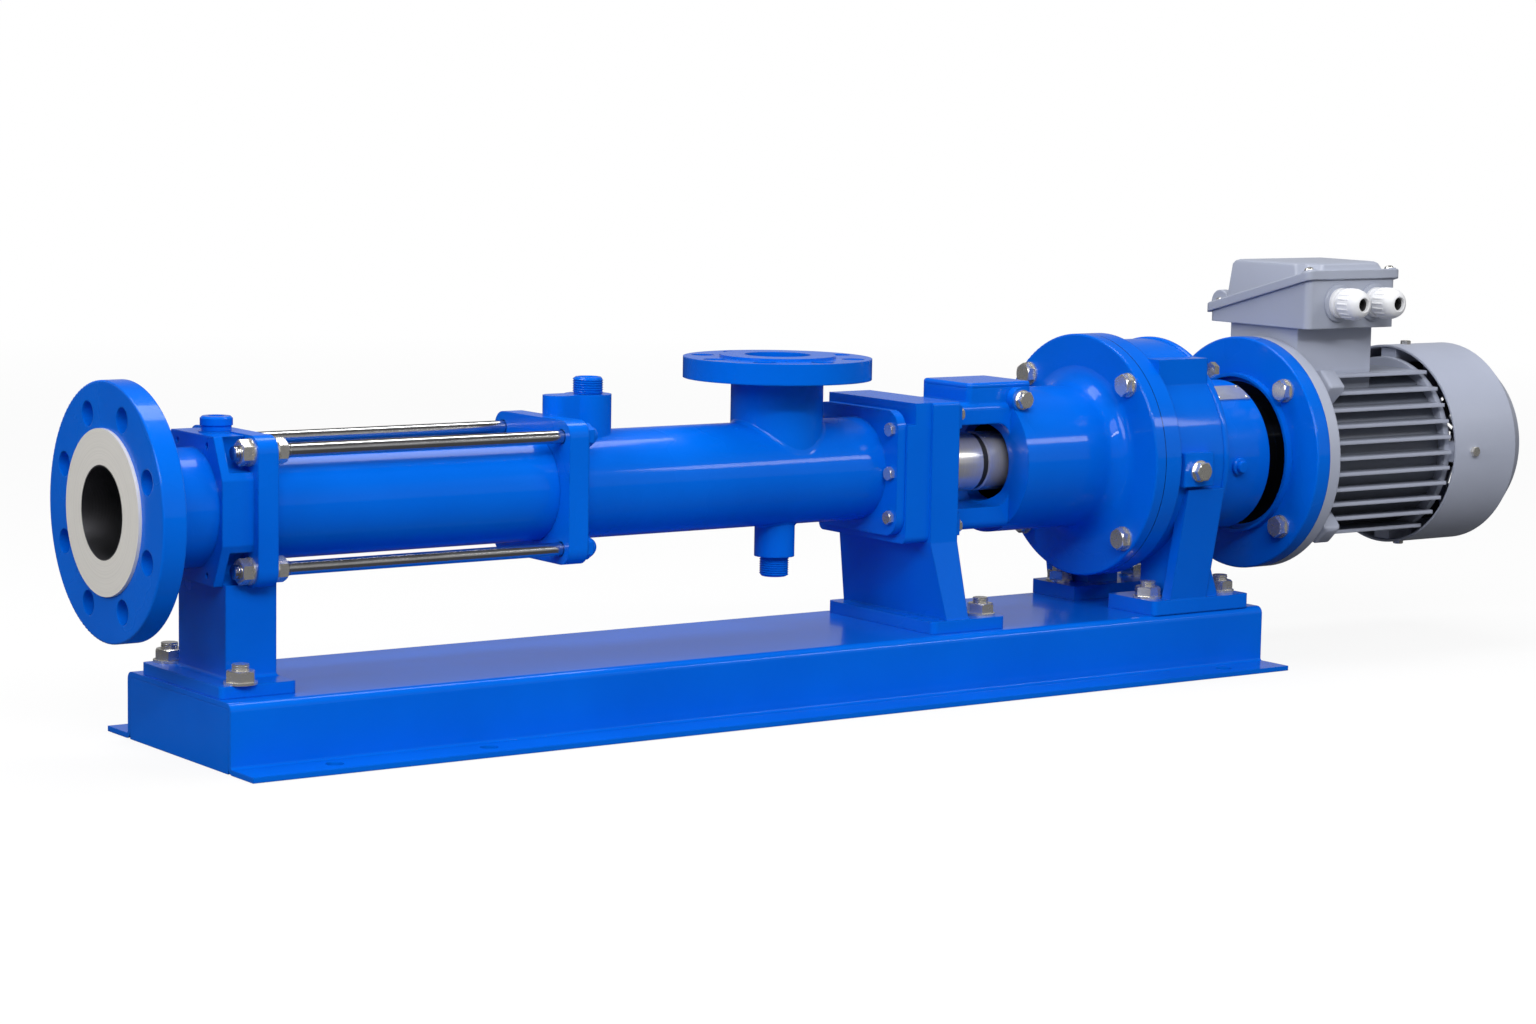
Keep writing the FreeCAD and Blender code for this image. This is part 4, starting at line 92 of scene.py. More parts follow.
ahead = Vector((math.sin(CAMERA_YAW) * math.cos(CAMERA_PITCH),
                math.cos(CAMERA_YAW) * math.cos(CAMERA_PITCH), -math.sin(CAMERA_PITCH)))
level_right = Vector((math.cos(CAMERA_YAW), -math.sin(CAMERA_YAW), 0.0))
level_up = level_right.cross(ahead)
right = level_right * math.cos(CAMERA_ROLL) + level_up * math.sin(CAMERA_ROLL)
up = level_up * math.cos(CAMERA_ROLL) - level_right * math.sin(CAMERA_ROLL)
turn = Matrix((right, up, -ahead)).transposed().to_4x4()
camera.matrix_world = Matrix.Translation(place(*CAMERA_PLACE)) @ turn
print("camera at", [round(value, 3) for value in camera.matrix_world.translation])

# %% [markdown]
# ## Shader maths as plain expressions
# A finish is a sum of small effects: a little more gloss here, a finer grain there.  Written as
# nodes one by one that is hard to read, so a small class lets a socket be added, multiplied and
# compared like a number.  Each operator adds one Math node behind the scenes.

# %% A class that wraps a socket
class Wire:
    """An output socket that can be used in arithmetic."""

    def __init__(self, owner, socket):
        self.owner = owner
        self.socket = socket

    def math(self, operation, *others):
        return self.owner.node("ShaderNodeMath", {"operation": operation}, [self, *others])

    def __add__(self, other):
        return self.math("ADD", other)

    def __radd__(self, other):
        return self.math("ADD", other)

    def __sub__(self, other):
        return self.math("SUBTRACT", other)

    def __rsub__(self, other):
        return self.owner.node("ShaderNodeMath", {"operation": "SUBTRACT"}, [other, self])

    def __mul__(self, other):
        return self.math("MULTIPLY", other)

    def __rmul__(self, other):
        return self.math("MULTIPLY", other)

    def __truediv__(self, other):
        return self.math("DIVIDE", other)

    def __pow__(self, other):
        return self.math("POWER", other)

    def below(self, other):
        return self.math("LESS_THAN", other)

    def above(self, other):
        return self.math("GREATER_THAN", other)

    def clamped(self):
        return self.math("MINIMUM", 1.0).math("MAXIMUM", 0.0)


print("a socket can be added, multiplied and compared")

# %% [markdown]
# ## Trees of shader nodes
# The world, the floor and every finish are trees of nodes.  One method adds any node: it takes the
# kind of node, its settings, and then a value or a wire for each socket.  The camera has to see
# other tones than light that bounces or a reflection, so a second method chooses by the kind of ray.

# %% A class that adds nodes
WHITE = (1.0, 1.0, 1.0, 1.0)


class ShaderTree:
    """A tree of shader nodes, with a method that adds any node."""

    def __init__(self, tree):
        self.tree = tree
        tree.nodes.clear()

    def node(self, kind, settings, values, output=0):
        """Add a node: its settings first, then values or wires for its sockets."""
        item = self.tree.nodes.new(kind)
        for key, value in settings.items():
            setattr(item, key, value)
        pairs = values.items() if isinstance(values, dict) else enumerate(values)
        for key, value in pairs:
            self.feed(item.inputs[key], value)
        return Wire(self, item.outputs[output])

    def feed(self, socket, value):
        """Give a socket a wire or a value of its own."""
        if isinstance(value, Wire):
            self.tree.links.new(value.socket, socket)
        else:
            socket.default_value = value

    def end(self, kind, surface):
        """Add the output node, which closes the tree."""
        self.feed(self.tree.nodes.new(kind).inputs["Surface"], surface)

    def coordinates(self):
        return self.node("ShaderNodeTexCoord", {}, {}, "Object")

    def stretched(self, value, start, stop, first, last):
        """A value between start and stop, mapped to one between first and last."""
        sockets = {"Value": value, "From Min": start, "From Max": stop, "To Min": first, "To Max": last}
        return self.node("ShaderNodeMapRange", {}, sockets)

    def by_ray(self, ray, otherwise, chosen):
        """One value for a kind of ray and another for the rest, each a number or a wire."""
        wanted = self.node("ShaderNodeLightPath", {}, {}, ray)
        return self.node("ShaderNodeMix", {}, {0: wanted, 2: otherwise, 3: chosen})


print("shader trees ready")

# %% [markdown]
# ## A tree for one finish
# A finish is a tree that ends in a Principled surface.  Its methods are the few patterns that every
# finish here is made of: soft noise, a mix of two colours, a bump, rounded edges, and the place of a
# point on the pump.

# %% A class that builds one finish
BEVEL_SAMPLES = 4


class Finish(ShaderTree):
    """One material that ends in a Principled surface."""

    def __init__(self, name):
        self.material = bpy.data.materials.new(name)
        self.material.use_nodes = True
        super().__init__(self.material.node_tree)
        self.surface = self.tree.nodes.new("ShaderNodeBsdfPrincipled")
        self.end("ShaderNodeOutputMaterial", Wire(self, self.surface.outputs[0]))

    def noise(self, scale, detail=2.0, roughness=0.5, vector=None):
        """Soft noise from 0 to 1, with a scale in spots per metre."""
        values = {"Scale": scale, "Detail": detail, "Roughness": roughness,
                  "Vector": vector or self.coordinates()}
        return self.node("ShaderNodeTexNoise", {}, values)

    def mix(self, factor, first, second):
        """A colour between two colours."""
        return self.node("ShaderNodeMix", {"data_type": "RGBA"}, {0: factor, 6: first, 7: second}, 2)

    def parts(self):
        """The place of a point along the pump, across it, and above the floor, as three wires."""
        item = self.tree.nodes.new("ShaderNodeSeparateXYZ")
        self.feed(item.inputs[0], self.coordinates())
        return [Wire(self, socket) for socket in item.outputs]

    def radius_about(self, level):
        """The distance of a point from a line along the pump at a height in metres."""
        along, across, height = self.parts()
        height = height - level
        return (across * across + height * height) ** 0.5

    def soft_edges(self, radius, normal):
        """A normal that rounds the edges of the shape, as a casting's edges are."""
        values = {"Radius": radius, "Normal": normal}
        return self.node("ShaderNodeBevel", {"samples": BEVEL_SAMPLES}, values)

    def bump(self, height, distance, after=None):
        """A bump of a depth in metres, on top of an earlier normal if there is one."""
        values = {"Height": height, "Distance": distance}
        if after is not None:
            values["Normal"] = after
        return self.node("ShaderNodeBump", {}, values)

    def set(self, **sockets):
        """Set sockets of the surface by their names, with _ for a space."""
        for name, value in sockets.items():
            self.feed(self.surface.inputs[name.replace("_", " ")], value)


def colour(red, green, blue):
    """A colour from the screen values of a paint chart, made linear by the usual screen curve."""
    def linear(value):
        share = value / 255
        return share / 12.92 if share <= 0.04045 else ((share + 0.055) / 1.055) ** 2.4
    return (linear(red), linear(green), linear(blue), 1.0)


def darker(tint, share):
    """The same colour with only a share of its light."""
    return tuple(value * share for value in tint[:3]) + (1.0,)


print("finishes can be built")

# %% [markdown]
# ## The world
# Glossy paint shows what it reflects, so the light matters as much as the paint.  The camera sees a
# white world, but its light on the pump is much weaker.  Paint and steel reflect a grey world near
# the horizon that turns nearly black overhead, as the ceiling of a studio is.  That keeps the blue
# deep and leaves the highlights to the soft boxes.

# %% One strength for each kind of ray
WORLD_LIGHT = 0.30
HORIZON_REFLECTED = 0.4
CEILING_REFLECTED = 0.06
CEILING_FROM = 0.12
CEILING_FULL = 0.5

world = bpy.data.worlds.new("studio")
bpy.context.scene.world = world
world.use_nodes = True
sky = ShaderTree(world.node_tree)
direction = sky.node("ShaderNodeTexCoord", {}, {}, "Generated")
steepness = sky.node("ShaderNodeSeparateXYZ", {}, [direction], "Z")
reflected = sky.stretched(steepness, CEILING_FROM, CEILING_FULL, HORIZON_REFLECTED, CEILING_REFLECTED)
strength = sky.by_ray("Is Glossy Ray", WORLD_LIGHT, reflected)
strength = sky.by_ray("Is Transmission Ray", strength, 1.0)
strength = sky.by_ray("Is Camera Ray", strength, 1.0)
background = sky.node("ShaderNodeBackground", {}, {"Color": WHITE, "Strength": strength})
sky.end("ShaderNodeOutputWorld", background)
bpy.context.scene.view_settings.view_transform = "Standard"
print("world light", WORLD_LIGHT)

# %% [markdown]
# ## Soft boxes
# Five soft boxes light the pump.  The key light above the near side gives the tubes their broad
# sheen, and the edge light under it is a narrow strip, which draws thin bright lines.  The gleam
# light on the right catches the round lantern.  The side light fills the faces that look left, such
# as the flange, and the top light brightens all that looks up.

# %% Set up the soft boxes
PUMP_MIDDLE = (0.0, 0.0, 0.15)
LANTERN = (0.3, 0.0, 0.18)
PUMP_TOP = (0.1, 0.0, 0.15)


def soft_box(name, position, target, width, height, power):
    """A rectangle of light, its size in metres and its power in watts, that faces a target."""
    data = bpy.data.lights.new(name, "AREA")
    data.shape = "RECTANGLE"
    data.size = width
    data.size_y = height
    data.energy = power
    lamp = bpy.data.objects.new(name, data)
    bpy.context.scene.collection.objects.link(lamp)
    lamp.location = position
    lamp.rotation_euler = (Vector(target) - Vector(position)).to_track_quat("-Z", "Y").to_euler()
    print(name, power, "W")


soft_box("key_light", (-0.9, -2.1, 2.3), PUMP_MIDDLE, width=2.6, height=0.8, power=31)
soft_box("edge_light", (-0.8, -2.3, 1.75), PUMP_MIDDLE, width=2.8, height=0.14, power=36)
soft_box("gleam_light", (2.15, -2.3, 1.55), LANTERN, width=0.9, height=0.35, power=10)
soft_box("side_light", (-2.6, -0.6, 1.3), PUMP_MIDDLE, width=1.0, height=1.0, power=26)
soft_box("top_light", (0.2, 0.5, 2.6), PUMP_TOP, width=2.6, height=0.8, power=44)

# %% [markdown]
# ## The floor
# To the camera the floor is white paper that glows.  The glow is a little weaker under the pump,
# where the soft shadow has to show, and grows with the distance until the floor can't be told from
# the background.  To light that bounces and to reflections the same floor is dark, because a white
# one would wash out the paint.

# %% Lay the floor
FLOOR_SIZE = 60.0
FLOOR_DROP = 0.0004
FLOOR_SEEN = 0.8
FLOOR_BOUNCE = 0.18
FLOOR_REFLECTED = 0.05
GLOW_UNDER_PUMP = 0.88
FADE_FROM = 1.2
FADE_TO = 4.0

bpy.ops.mesh.primitive_plane_add(size=FLOOR_SIZE, location=(0.0, 0.0, -FLOOR_DROP))
floor = bpy.context.object
floor.name = "floor"
floor_finish = bpy.data.materials.new("floor")
floor_finish.use_nodes = True
floor.data.materials.append(floor_finish)

paper = ShaderTree(floor_finish.node_tree)
unseen = paper.by_ray("Is Glossy Ray", FLOOR_BOUNCE, FLOOR_REFLECTED)
tone = paper.by_ray("Is Camera Ray", unseen, FLOOR_SEEN)
distance = paper.node("ShaderNodeVectorMath", {"operation": "LENGTH"}, [paper.coordinates()], "Value")
glow_share = paper.stretched(distance, FADE_FROM, FADE_TO, GLOW_UNDER_PUMP, 1.0)
lit = paper.node("ShaderNodeBsdfDiffuse", {}, {"Color": tone})
glow = paper.node("ShaderNodeEmission", {}, {"Color": WHITE})
mixed = paper.node("ShaderNodeMixShader", {}, [paper.by_ray("Is Camera Ray", 0.0, glow_share), lit, glow])
paper.end("ShaderNodeOutputMaterial", mixed)
print("floor ready")

# %% [markdown]
# ## Blue paint
# The pump is painted a deep glossy blue over castings, tubes and bent sheet.  Real paint is never
# one flat colour: two close shades run into each other in soft patches, and the skin has the gentle
# orange peel of a spray gun.  On a casting the sand's grain still shows through, so castings get a
# deeper and finer bump than tubes and sheet.  A haze of white reflections would make the blue pale.
# So the paint itself reflects little, by a low index of refraction, and what it reflects is tinted
# blue, while a thin clear coat on top draws the sharp highlights.  The Bevel node rounds the edges
# in the shading, which draws thin bright lines along them.

# %% Mix the blue paint
BLUE = colour(0, 104, 222)
DEEP_BLUE = colour(0, 92, 206)
BLUE_REFLECTION = colour(60, 150, 255)
PAINTED_SHADE_BLACK = colour(6, 7, 9)
PATCHES = 9.0
PEEL = 420.0
PEEL_DEPTH = 0.00006
CAST_EDGE = 1.8 * MM
SHEET_EDGE = 1.2 * MM
CAST_SKIN = {"grain": 900.0, "grain_depth": 0.00014, "gloss": 0.24, "edge": CAST_EDGE}
SHEET_SKIN = {"grain": 260.0, "grain_depth": 0.00002, "gloss": 0.2, "edge": SHEET_EDGE}


def blue_paint(name, grain, grain_depth, gloss, edge, painted_shade_mask=None):
    """Blue paint, with an optional mask where painted shade turns it near black."""
    finish = Finish(name)
    patches = finish.noise(PATCHES, 3.0)
    peel = finish.noise(PEEL, 2.0)
    sand = finish.noise(grain, 4.0, 0.65)
    skin = finish.bump(sand, grain_depth, finish.bump(peel, PEEL_DEPTH))
    paint = finish.mix((patches * 1.6 - 0.3).clamped(), DEEP_BLUE, BLUE)
    # Painted shade: where the mask is one, the blue is turned near black.
    if painted_shade_mask:
        paint = finish.mix(painted_shade_mask(finish), paint, PAINTED_SHADE_BLACK)
    finish.set(
        Base_Color=paint,
        Roughness=gloss + 0.06 * patches,
        Normal=finish.soft_edges(edge, skin),
        Specular_Tint=BLUE_REFLECTION,
        IOR=1.22,
        Coat_Weight=0.32,
        Coat_Roughness=0.08,
    )
    return finish.material


cast_blue = blue_paint("cast_blue_paint", **CAST_SKIN)
smooth_blue = blue_paint("smooth_blue_paint", **SHEET_SKIN)
print("blue paints:", cast_blue.name, smooth_blue.name)

# %% [markdown]
# ## Painted shade in the blue
# Two castings have places that little light reaches, and there the blue is painted near black as
# painted shade.  A mask is one where a point lies close to the shaft and on one side of a station
# along the pump, and nothing elsewhere.  The lantern's mask also takes in the thin seam at its end.

# %% Mask the places of painted shade
DRUM_LEVEL = -6.25
INPUT_LEVEL = AXIS_LEVEL + DRUM_LEVEL * MM
GAP_RADIUS = 62.0 * MM
GAP_END = place(1069.5, 0, 0).x
TUBE_RADIUS = 50.5 * MM
TUBE_START = place(797.5, 0, 0).x
SEAM_START = place(896.9, 0, 0).x


def adaptor_gap_painted_shade(finish):
    """Painted shade on the short neck between the gearbox and the motor's flange, which lies in a gap."""
    along = finish.parts()[0]
    return finish.radius_about(INPUT_LEVEL).below(GAP_RADIUS) * along.below(GAP_END)


def lantern_painted_shade(finish):
    """Painted shade inside the lantern's tube behind its end wall, and in the seam against the gearbox."""
    along = finish.parts()[0]
    inside = finish.radius_about(AXIS_LEVEL).below(TUBE_RADIUS) * along.above(TUBE_START)
    return inside + along.above(SEAM_START)


adaptor_blue = blue_paint("adaptor_blue_paint", painted_shade_mask=adaptor_gap_painted_shade, **CAST_SKIN)
lantern_blue = blue_paint("lantern_blue_paint", painted_shade_mask=lantern_painted_shade, **CAST_SKIN)
print("masked paints:", adaptor_blue.name, lantern_blue.name)

# %% [markdown]
# ## Grey paint
# The motor is grey and less glossy.  Painted shade darkens the frame's paint at the foot of its
# cooling fins, by the distance from the motor's shaft.

# %% Mix the grey paint
FIN_SHADE_GREY = colour(112, 117, 130)
FIN_FOOT = 73.0 * MM
FIN_RISE = 11.0 * MM
MOTOR_SKIN = {"light": colour(176, 182, 200), "dark": colour(164, 170, 188), "grain": 1100.0,
              "depth": 0.0001, "gloss": 0.34}
BOX_SKIN = {"light": colour(168, 174, 190), "dark": colour(158, 164, 181), "grain": 800.0,
            "depth": 0.00008, "gloss": 0.38}


def grey_paint(name, light, dark, grain, depth, gloss, shade=None):
    """Grey paint, with an optional mask of painted shade between fins."""
    finish = Finish(name)
    patches = finish.noise(14.0, 3.0)
    sand = finish.noise(grain, 4.0, 0.6)
    paint = finish.mix(patches, dark, light)
    if shade:
        # Painted shade: the grey turns darker between the fins.
        paint = finish.mix(shade(finish), paint, FIN_SHADE_GREY)
    finish.set(
        Base_Color=paint,
        Roughness=gloss + 0.08 * patches,
        Normal=finish.soft_edges(CAST_EDGE, finish.bump(sand, depth)),
        Coat_Weight=0.1,
        Coat_Roughness=0.2,
    )
    return finish.material


def painted_shade_between_fins(finish):
    """The share of painted shade: one at the foot of the cooling fins, fading to nothing at their tips."""
    return (1.0 - (finish.radius_about(INPUT_LEVEL) - FIN_FOOT) / FIN_RISE).clamped()


motor_grey = grey_paint("motor_grey_paint", **MOTOR_SKIN)
fin_grey = grey_paint("motor_fin_paint", shade=painted_shade_between_fins, **MOTOR_SKIN)
box_grey = grey_paint("terminal_box_paint", **BOX_SKIN)
print("grey paints:", motor_grey.name, fin_grey.name, box_grey.name)

# %% [markdown]
# ## Turned steel
# The flange face is left bare for its gasket and shows the fine rings of the lathe.  The rings
# follow the distance from the pump's axis, so the finish works that distance out from the
# coordinates and feeds a wave of it to the bump.  The same steel makes the shafts and the rods, with
# fainter rings and more shine.

# %% Mix the turned steels
BORE_STEEL = colour(128, 128, 134)
FACE_BORE = 33.5 * MM
STREAK_SHADE = 0.72


def turned_steel(name, tint, pitch, depth, roughness, metal=1.0, bore=None):
    """Steel with lathe rings; inside the radius of a bore it is darker and all metal."""
    finish = Finish(name)
    along = finish.parts()[0]
    radius = finish.radius_about(AXIS_LEVEL)
    rings = ((radius + along) * (2 * math.pi / pitch)).math("SINE")
    streaks = finish.noise(700.0, 3.0, 0.6, radius + along)
    smear = finish.noise(60.0, 3.0)
    steel = finish.mix(streaks, tint, darker(tint, STREAK_SHADE))
    if bore:
        inside = radius.below(bore)
        steel = finish.mix(inside, steel, BORE_STEEL)
        metal = inside * (1.0 - metal) + metal
    finish.set(
        Base_Color=steel,
        Metallic=metal,
        Roughness=roughness + 0.1 * smear,
        Normal=finish.bump(rings, depth),
    )
    return finish.material


face_steel = turned_steel("turned_face_steel", colour(250, 247, 241), pitch=0.0011, depth=0.00002,
                          roughness=0.34, metal=0.15, bore=FACE_BORE)
shaft_steel = turned_steel("ground_shaft_steel", colour(238, 236, 233), pitch=0.0006, depth=0.000006,
                           roughness=0.2, metal=0.7)
rotor_steel = turned_steel("polished_rotor_steel", colour(228, 228, 228), pitch=0.002, depth=0.000004,
                           roughness=0.12)
rod_steel = turned_steel("drawn_rod_steel", colour(214, 214, 216), pitch=0.003, depth=0.000003,
                         roughness=0.16)
print("turned steels ready")

# %% [markdown]
# ## Plated and plain small parts
# Screws and nuts are zinc plated: bright, with a faint unevenness instead of rings.  Rubber, plastic
# and ceramic have no metal in them and a soft grain.

# %% Mix the small finishes
def plated(name, tint, roughness):
    """Plated or bare metal, a little cloudy and finely scratched."""
    finish = Finish(name)
    cloud = finish.noise(180.0, 3.0)
    scratches = finish.noise(1500.0, 2.0)
    finish.set(
        Base_Color=finish.mix(cloud, tint, darker(tint, 0.82)),
        Metallic=0.85,
        Roughness=roughness + 0.12 * cloud,
        Normal=finish.bump(scratches, 0.00003),
    )
    return finish.material


def dull(name, tint, roughness):
    """A finish without metal, with a soft grain."""
    finish = Finish(name)
    cloud = finish.noise(30.0, 3.0)
    finish.set(
        Base_Color=finish.mix(cloud, tint, darker(tint, 0.8)),
        Roughness=roughness + 0.1 * cloud,
        Normal=finish.bump(finish.noise(700.0, 3.0), 0.00008),
    )
    return finish.material


zinc = plated("zinc_plate", colour(232, 229, 222), 0.2)
bare_plate = plated("bare_aluminium_plate", colour(214, 216, 220), 0.3)
iron = plated("bare_iron", colour(110, 110, 112), 0.5)
copper = plated("lacquered_copper", colour(196, 116, 66), 0.35)
rubber = dull("black_rubber", colour(30, 30, 31), 0.6)
black_plastic = dull("black_plastic", colour(34, 35, 37), 0.45)
gland_plastic = dull("gland_plastic", colour(238, 239, 242), 0.35)
ceramic = dull("seal_ceramic", colour(214, 208, 196), 0.25)
print("small part finishes ready")

# %% [markdown]
# ## Which finish goes where
# A CAD node already has one material slot.  Putting another material in that slot changes its look
# and nothing else.  A dictionary from finish to nodes is easy to check against the picture.

# %% Dress the CAD nodes
FINISHES = {
    cast_blue: ["discharge_casing", "suction_casing", "seal_bracket", "lantern_cover", "gear_housing",
                "gear_cover"],
    lantern_blue: ["lantern"],
    adaptor_blue: ["motor_adaptor"],
    smooth_blue: ["baseplate", "base_end_plate_pump", "base_end_plate_drive", "stator_tube",
                  "tie_rod_cap_nuts", "discharge_vent_plug", "casing_pipe_plug", "drain_pipe_plug"],
    rod_steel: ["tie_rods"],
    motor_grey: ["motor_flange", "motor_end_shield", "fan_cover"],
    fin_grey: ["motor_frame"],
    box_grey: ["terminal_box", "terminal_lid"],
    face_steel: ["discharge_liner"],
    shaft_steel: ["plug_shaft", "output_shaft", "coupling_rod"],
    rotor_steel: ["rotor", "seal_ring"],
    zinc: ["tie_rod_nuts", "foot_bolts", "casing_flange_screws", "lantern_screws", "lantern_flange_bolts",
           "gear_cover_bolts", "motor_flange_bolts", "fan_cover_screws", "lantern_cover_bolt",
           "gear_fill_plug"],
    bare_plate: ["nameplate"],
    iron: ["output_wheel", "layshaft", "layshaft_wheel", "gear_bearing_plate", "motor_rotor",
           "motor_shaft", "motor_stator_core", "output_bearings", "layshaft_bearings", "motor_bearings"],
    copper: ["motor_windings"],
    rubber: ["stator_rubber", "rotor_joint_sleeve", "shaft_joint_sleeve", "gear_oil_seal",
             "shaft_groove_ring"],
    black_plastic: ["fan"],
    gland_plastic: ["cable_glands"],
    ceramic: ["seal_seat"],
}
for material, names in FINISHES.items():
    for name in names:
        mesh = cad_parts[name].data
        mesh.materials.clear()
        mesh.materials.append(material)
dressed = sum(len(names) for names in FINISHES.values())
print("dressed", dressed, "of", len(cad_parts), "nodes")

# %% [markdown]
# ## Turned shapes
# Screws, plugs and caps are made on a lathe, so a list of radii and heights is enough to describe
# one.  A radius of zero closes the shape with a single point, which keeps the poles clean.  Every
# finished piece keeps its own origin at the centre of the floor, unturned and unscaled: the mesh
# itself is moved to its place, so that it can ride with the pump like a CAD node.

# %% Helpers for turned shapes
UP = (0, 0, 1)
DOWN = (0, 0, -1)
AHEAD = (1, 0, 0)
BACK = (-1, 0, 0)
NEAR = (0, -1, 0)
SHARP_EDGE = 30


def lathe(profile, sides):
    """Points and faces of a profile of (radius, height) in mm, turned about an upright axis."""
    points = []
    rings = []
    for radius, height in profile:
        count = sides if radius else 1
        rings.append(range(len(points), len(points) + count))
        for index in range(count):
            angle = 2 * math.pi * index / sides
            points.append((radius * math.cos(angle) * MM, radius * math.sin(angle) * MM, height * MM))
    faces = []
    for low, high in zip(rings, rings[1:]):
        for index in range(sides):
            after = (index + 1) % sides
            if len(low) == 1:
                faces.append((low[0], high[after], high[index]))
            elif len(high) == 1:
                faces.append((low[index], low[after], high[0]))
            else:
                faces.append((low[index], low[after], high[after], high[index]))
    return points, faces


def make_mesh(name, points, faces, material, sharp=SHARP_EDGE):
    """A smooth mesh whose edges stay sharp from an angle in degrees."""
    mesh = bpy.data.meshes.new(name)
    mesh.from_pydata(points, [], faces)
    mesh.materials.append(material)
    mesh.shade_smooth()
    mesh.set_sharp_from_angle(angle=math.radians(sharp))
    return mesh


def aimed(spot, direction):
    """The matrix that stands a turned shape on a spot, pointing in a direction."""
    return Matrix.Translation(spot) @ Vector(direction).to_track_quat("Z", "Y").to_matrix().to_4x4()


def finished(name, mesh):
    """Put a mesh that is already in place into the scene, riding with the pump."""
    item = bpy.data.objects.new(name, mesh)
    bpy.context.scene.collection.objects.link(item)
    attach(item, "pump")
    print(name, len(mesh.polygons), "faces")
    return item


def turned(name, profile, spots, material, sides=36):
    """One mesh of the same turned shape standing on several spots, each a place and a direction."""
    points, faces = lathe(profile, sides)
    all_points = []
    all_faces = []
    for spot, direction in spots:
        start = len(all_points)
        matrix = aimed(spot, direction)
        all_points += [matrix @ Vector(point) for point in points]
        all_faces += [[start + index for index in face] for face in faces]
    return finished(name, make_mesh(name, all_points, all_faces, material))


print("lathe ready")

# %% [markdown]
# ## Trees of geometry nodes
# A thread is one ridge that follows a spiral, and the same thread sits on many studs.  That is what
# Geometry Nodes are good at: one tree with named inputs for the sizes, run on a handful of points
# that say where each copy stands and which way it looks.  The class below adds nodes with their
# values in one line, and turns the evaluated result into a plain mesh.

# %% A class that builds and runs a tree
class GeometryTree:
    """A tree of geometry nodes with named inputs, run on points that carry a direction."""

    def __init__(self, name, inputs):
        self.tree = bpy.data.node_groups.new(name, "GeometryNodeTree")
        sockets = self.tree.interface
        sockets.new_socket("Geometry", in_out="INPUT", socket_type="NodeSocketGeometry")
        sockets.new_socket("Geometry", in_out="OUTPUT", socket_type="NodeSocketGeometry")
        self.keys = {}
        for label, kind in inputs.items():
            self.keys[label] = sockets.new_socket(label, in_out="INPUT", socket_type=kind).identifier
        self.given = self.add("NodeGroupInput", {}, {})
        self.result = self.add("NodeGroupOutput", {}, {})

    def add(self, kind, settings, values):
        """Add a node: its settings first, then values or sockets for its inputs."""
        item = self.tree.nodes.new(kind)
        for key, value in settings.items():
            setattr(item, key, value)
        for key, value in values.items():
            if isinstance(value, bpy.types.NodeSocket):
                self.tree.links.new(value, item.inputs[key])
            else:
                item.inputs[key].default_value = value
        return item

    def given_value(self, label):
        return self.given.outputs[label]

    def stand_copies(self, shape):
        """End the tree: copies of a shape on the points, made real and given their material."""
        aim = self.add("GeometryNodeInputNamedAttribute", {"data_type": "FLOAT_VECTOR"}, {"Name": "aim"})
        turn = self.add("FunctionNodeAlignRotationToVector", {"axis": "Z"}, {"Vector": aim.outputs[0]})
        copies = self.add("GeometryNodeInstanceOnPoints", {}, {
            "Points": self.given.outputs["Geometry"],
            "Instance": shape,
            "Rotation": turn.outputs[0],
        })
        real = self.add("GeometryNodeRealizeInstances", {}, {"Geometry": copies.outputs[0]})
        shaded = self.add("GeometryNodeSetShadeSmooth", {}, {
            "Geometry": real.outputs[0],
            "Shade Smooth": False,
        })
        done = self.add("GeometryNodeSetMaterial", {}, {
            "Geometry": shaded.outputs[0],
            "Material": self.given_value("Finish"),
        })
        self.tree.links.new(done.outputs[0], self.result.inputs[0])

    def run(self, name, spots, values):
        """Run the tree on spots, each a place and a direction, and keep the result as a mesh."""
        points = bpy.data.meshes.new(name + "_points")
        points.from_pydata([spot for spot, direction in spots], [], [])
        aims = points.attributes.new("aim", "FLOAT_VECTOR", "POINT")
        aims.data.foreach_set("vector", [part for spot, direction in spots for part in direction])
        carrier = bpy.data.objects.new(name + "_points", points)
        bpy.context.scene.collection.objects.link(carrier)
        modifier = carrier.modifiers.new(name, "NODES")
        modifier.node_group = self.tree
        for label, value in values.items():
            modifier[self.keys[label]] = value
        graph = bpy.context.evaluated_depsgraph_get()
        mesh = bpy.data.meshes.new_from_object(carrier.evaluated_get(graph))
        mesh.name = name
        bpy.data.objects.remove(carrier)
        finished(name, mesh)


print("geometry trees can be built")

# %% [markdown]
# ## One tree for every thread
# The tree draws a spiral, sweeps a small diamond along it, and stands the ridge on every point.

# %% The thread tree
FLOAT = "NodeSocketFloat"
thread_tree = GeometryTree("thread", {
    "Radius": FLOAT, "Ridge": FLOAT, "Pitch": FLOAT, "Length": FLOAT, "Finish": "NodeSocketMaterial",
})
rounds = thread_tree.add("ShaderNodeMath", {"operation": "DIVIDE"}, {
    0: thread_tree.given_value("Length"),
    1: thread_tree.given_value("Pitch"),
})
spiral = thread_tree.add("GeometryNodeCurveSpiral", {}, {
    "Resolution": 32,
    "Rotations": rounds.outputs[0],
    "Start Radius": thread_tree.given_value("Radius"),
    "End Radius": thread_tree.given_value("Radius"),
    "Height": thread_tree.given_value("Length"),
})
upright = thread_tree.add("GeometryNodeSetCurveNormal", {"mode": "Z_UP"}, {"Curve": spiral.outputs[0]})
diamond = thread_tree.add("GeometryNodeCurvePrimitiveCircle", {}, {
    "Resolution": 4,
    "Radius": thread_tree.given_value("Ridge"),
})
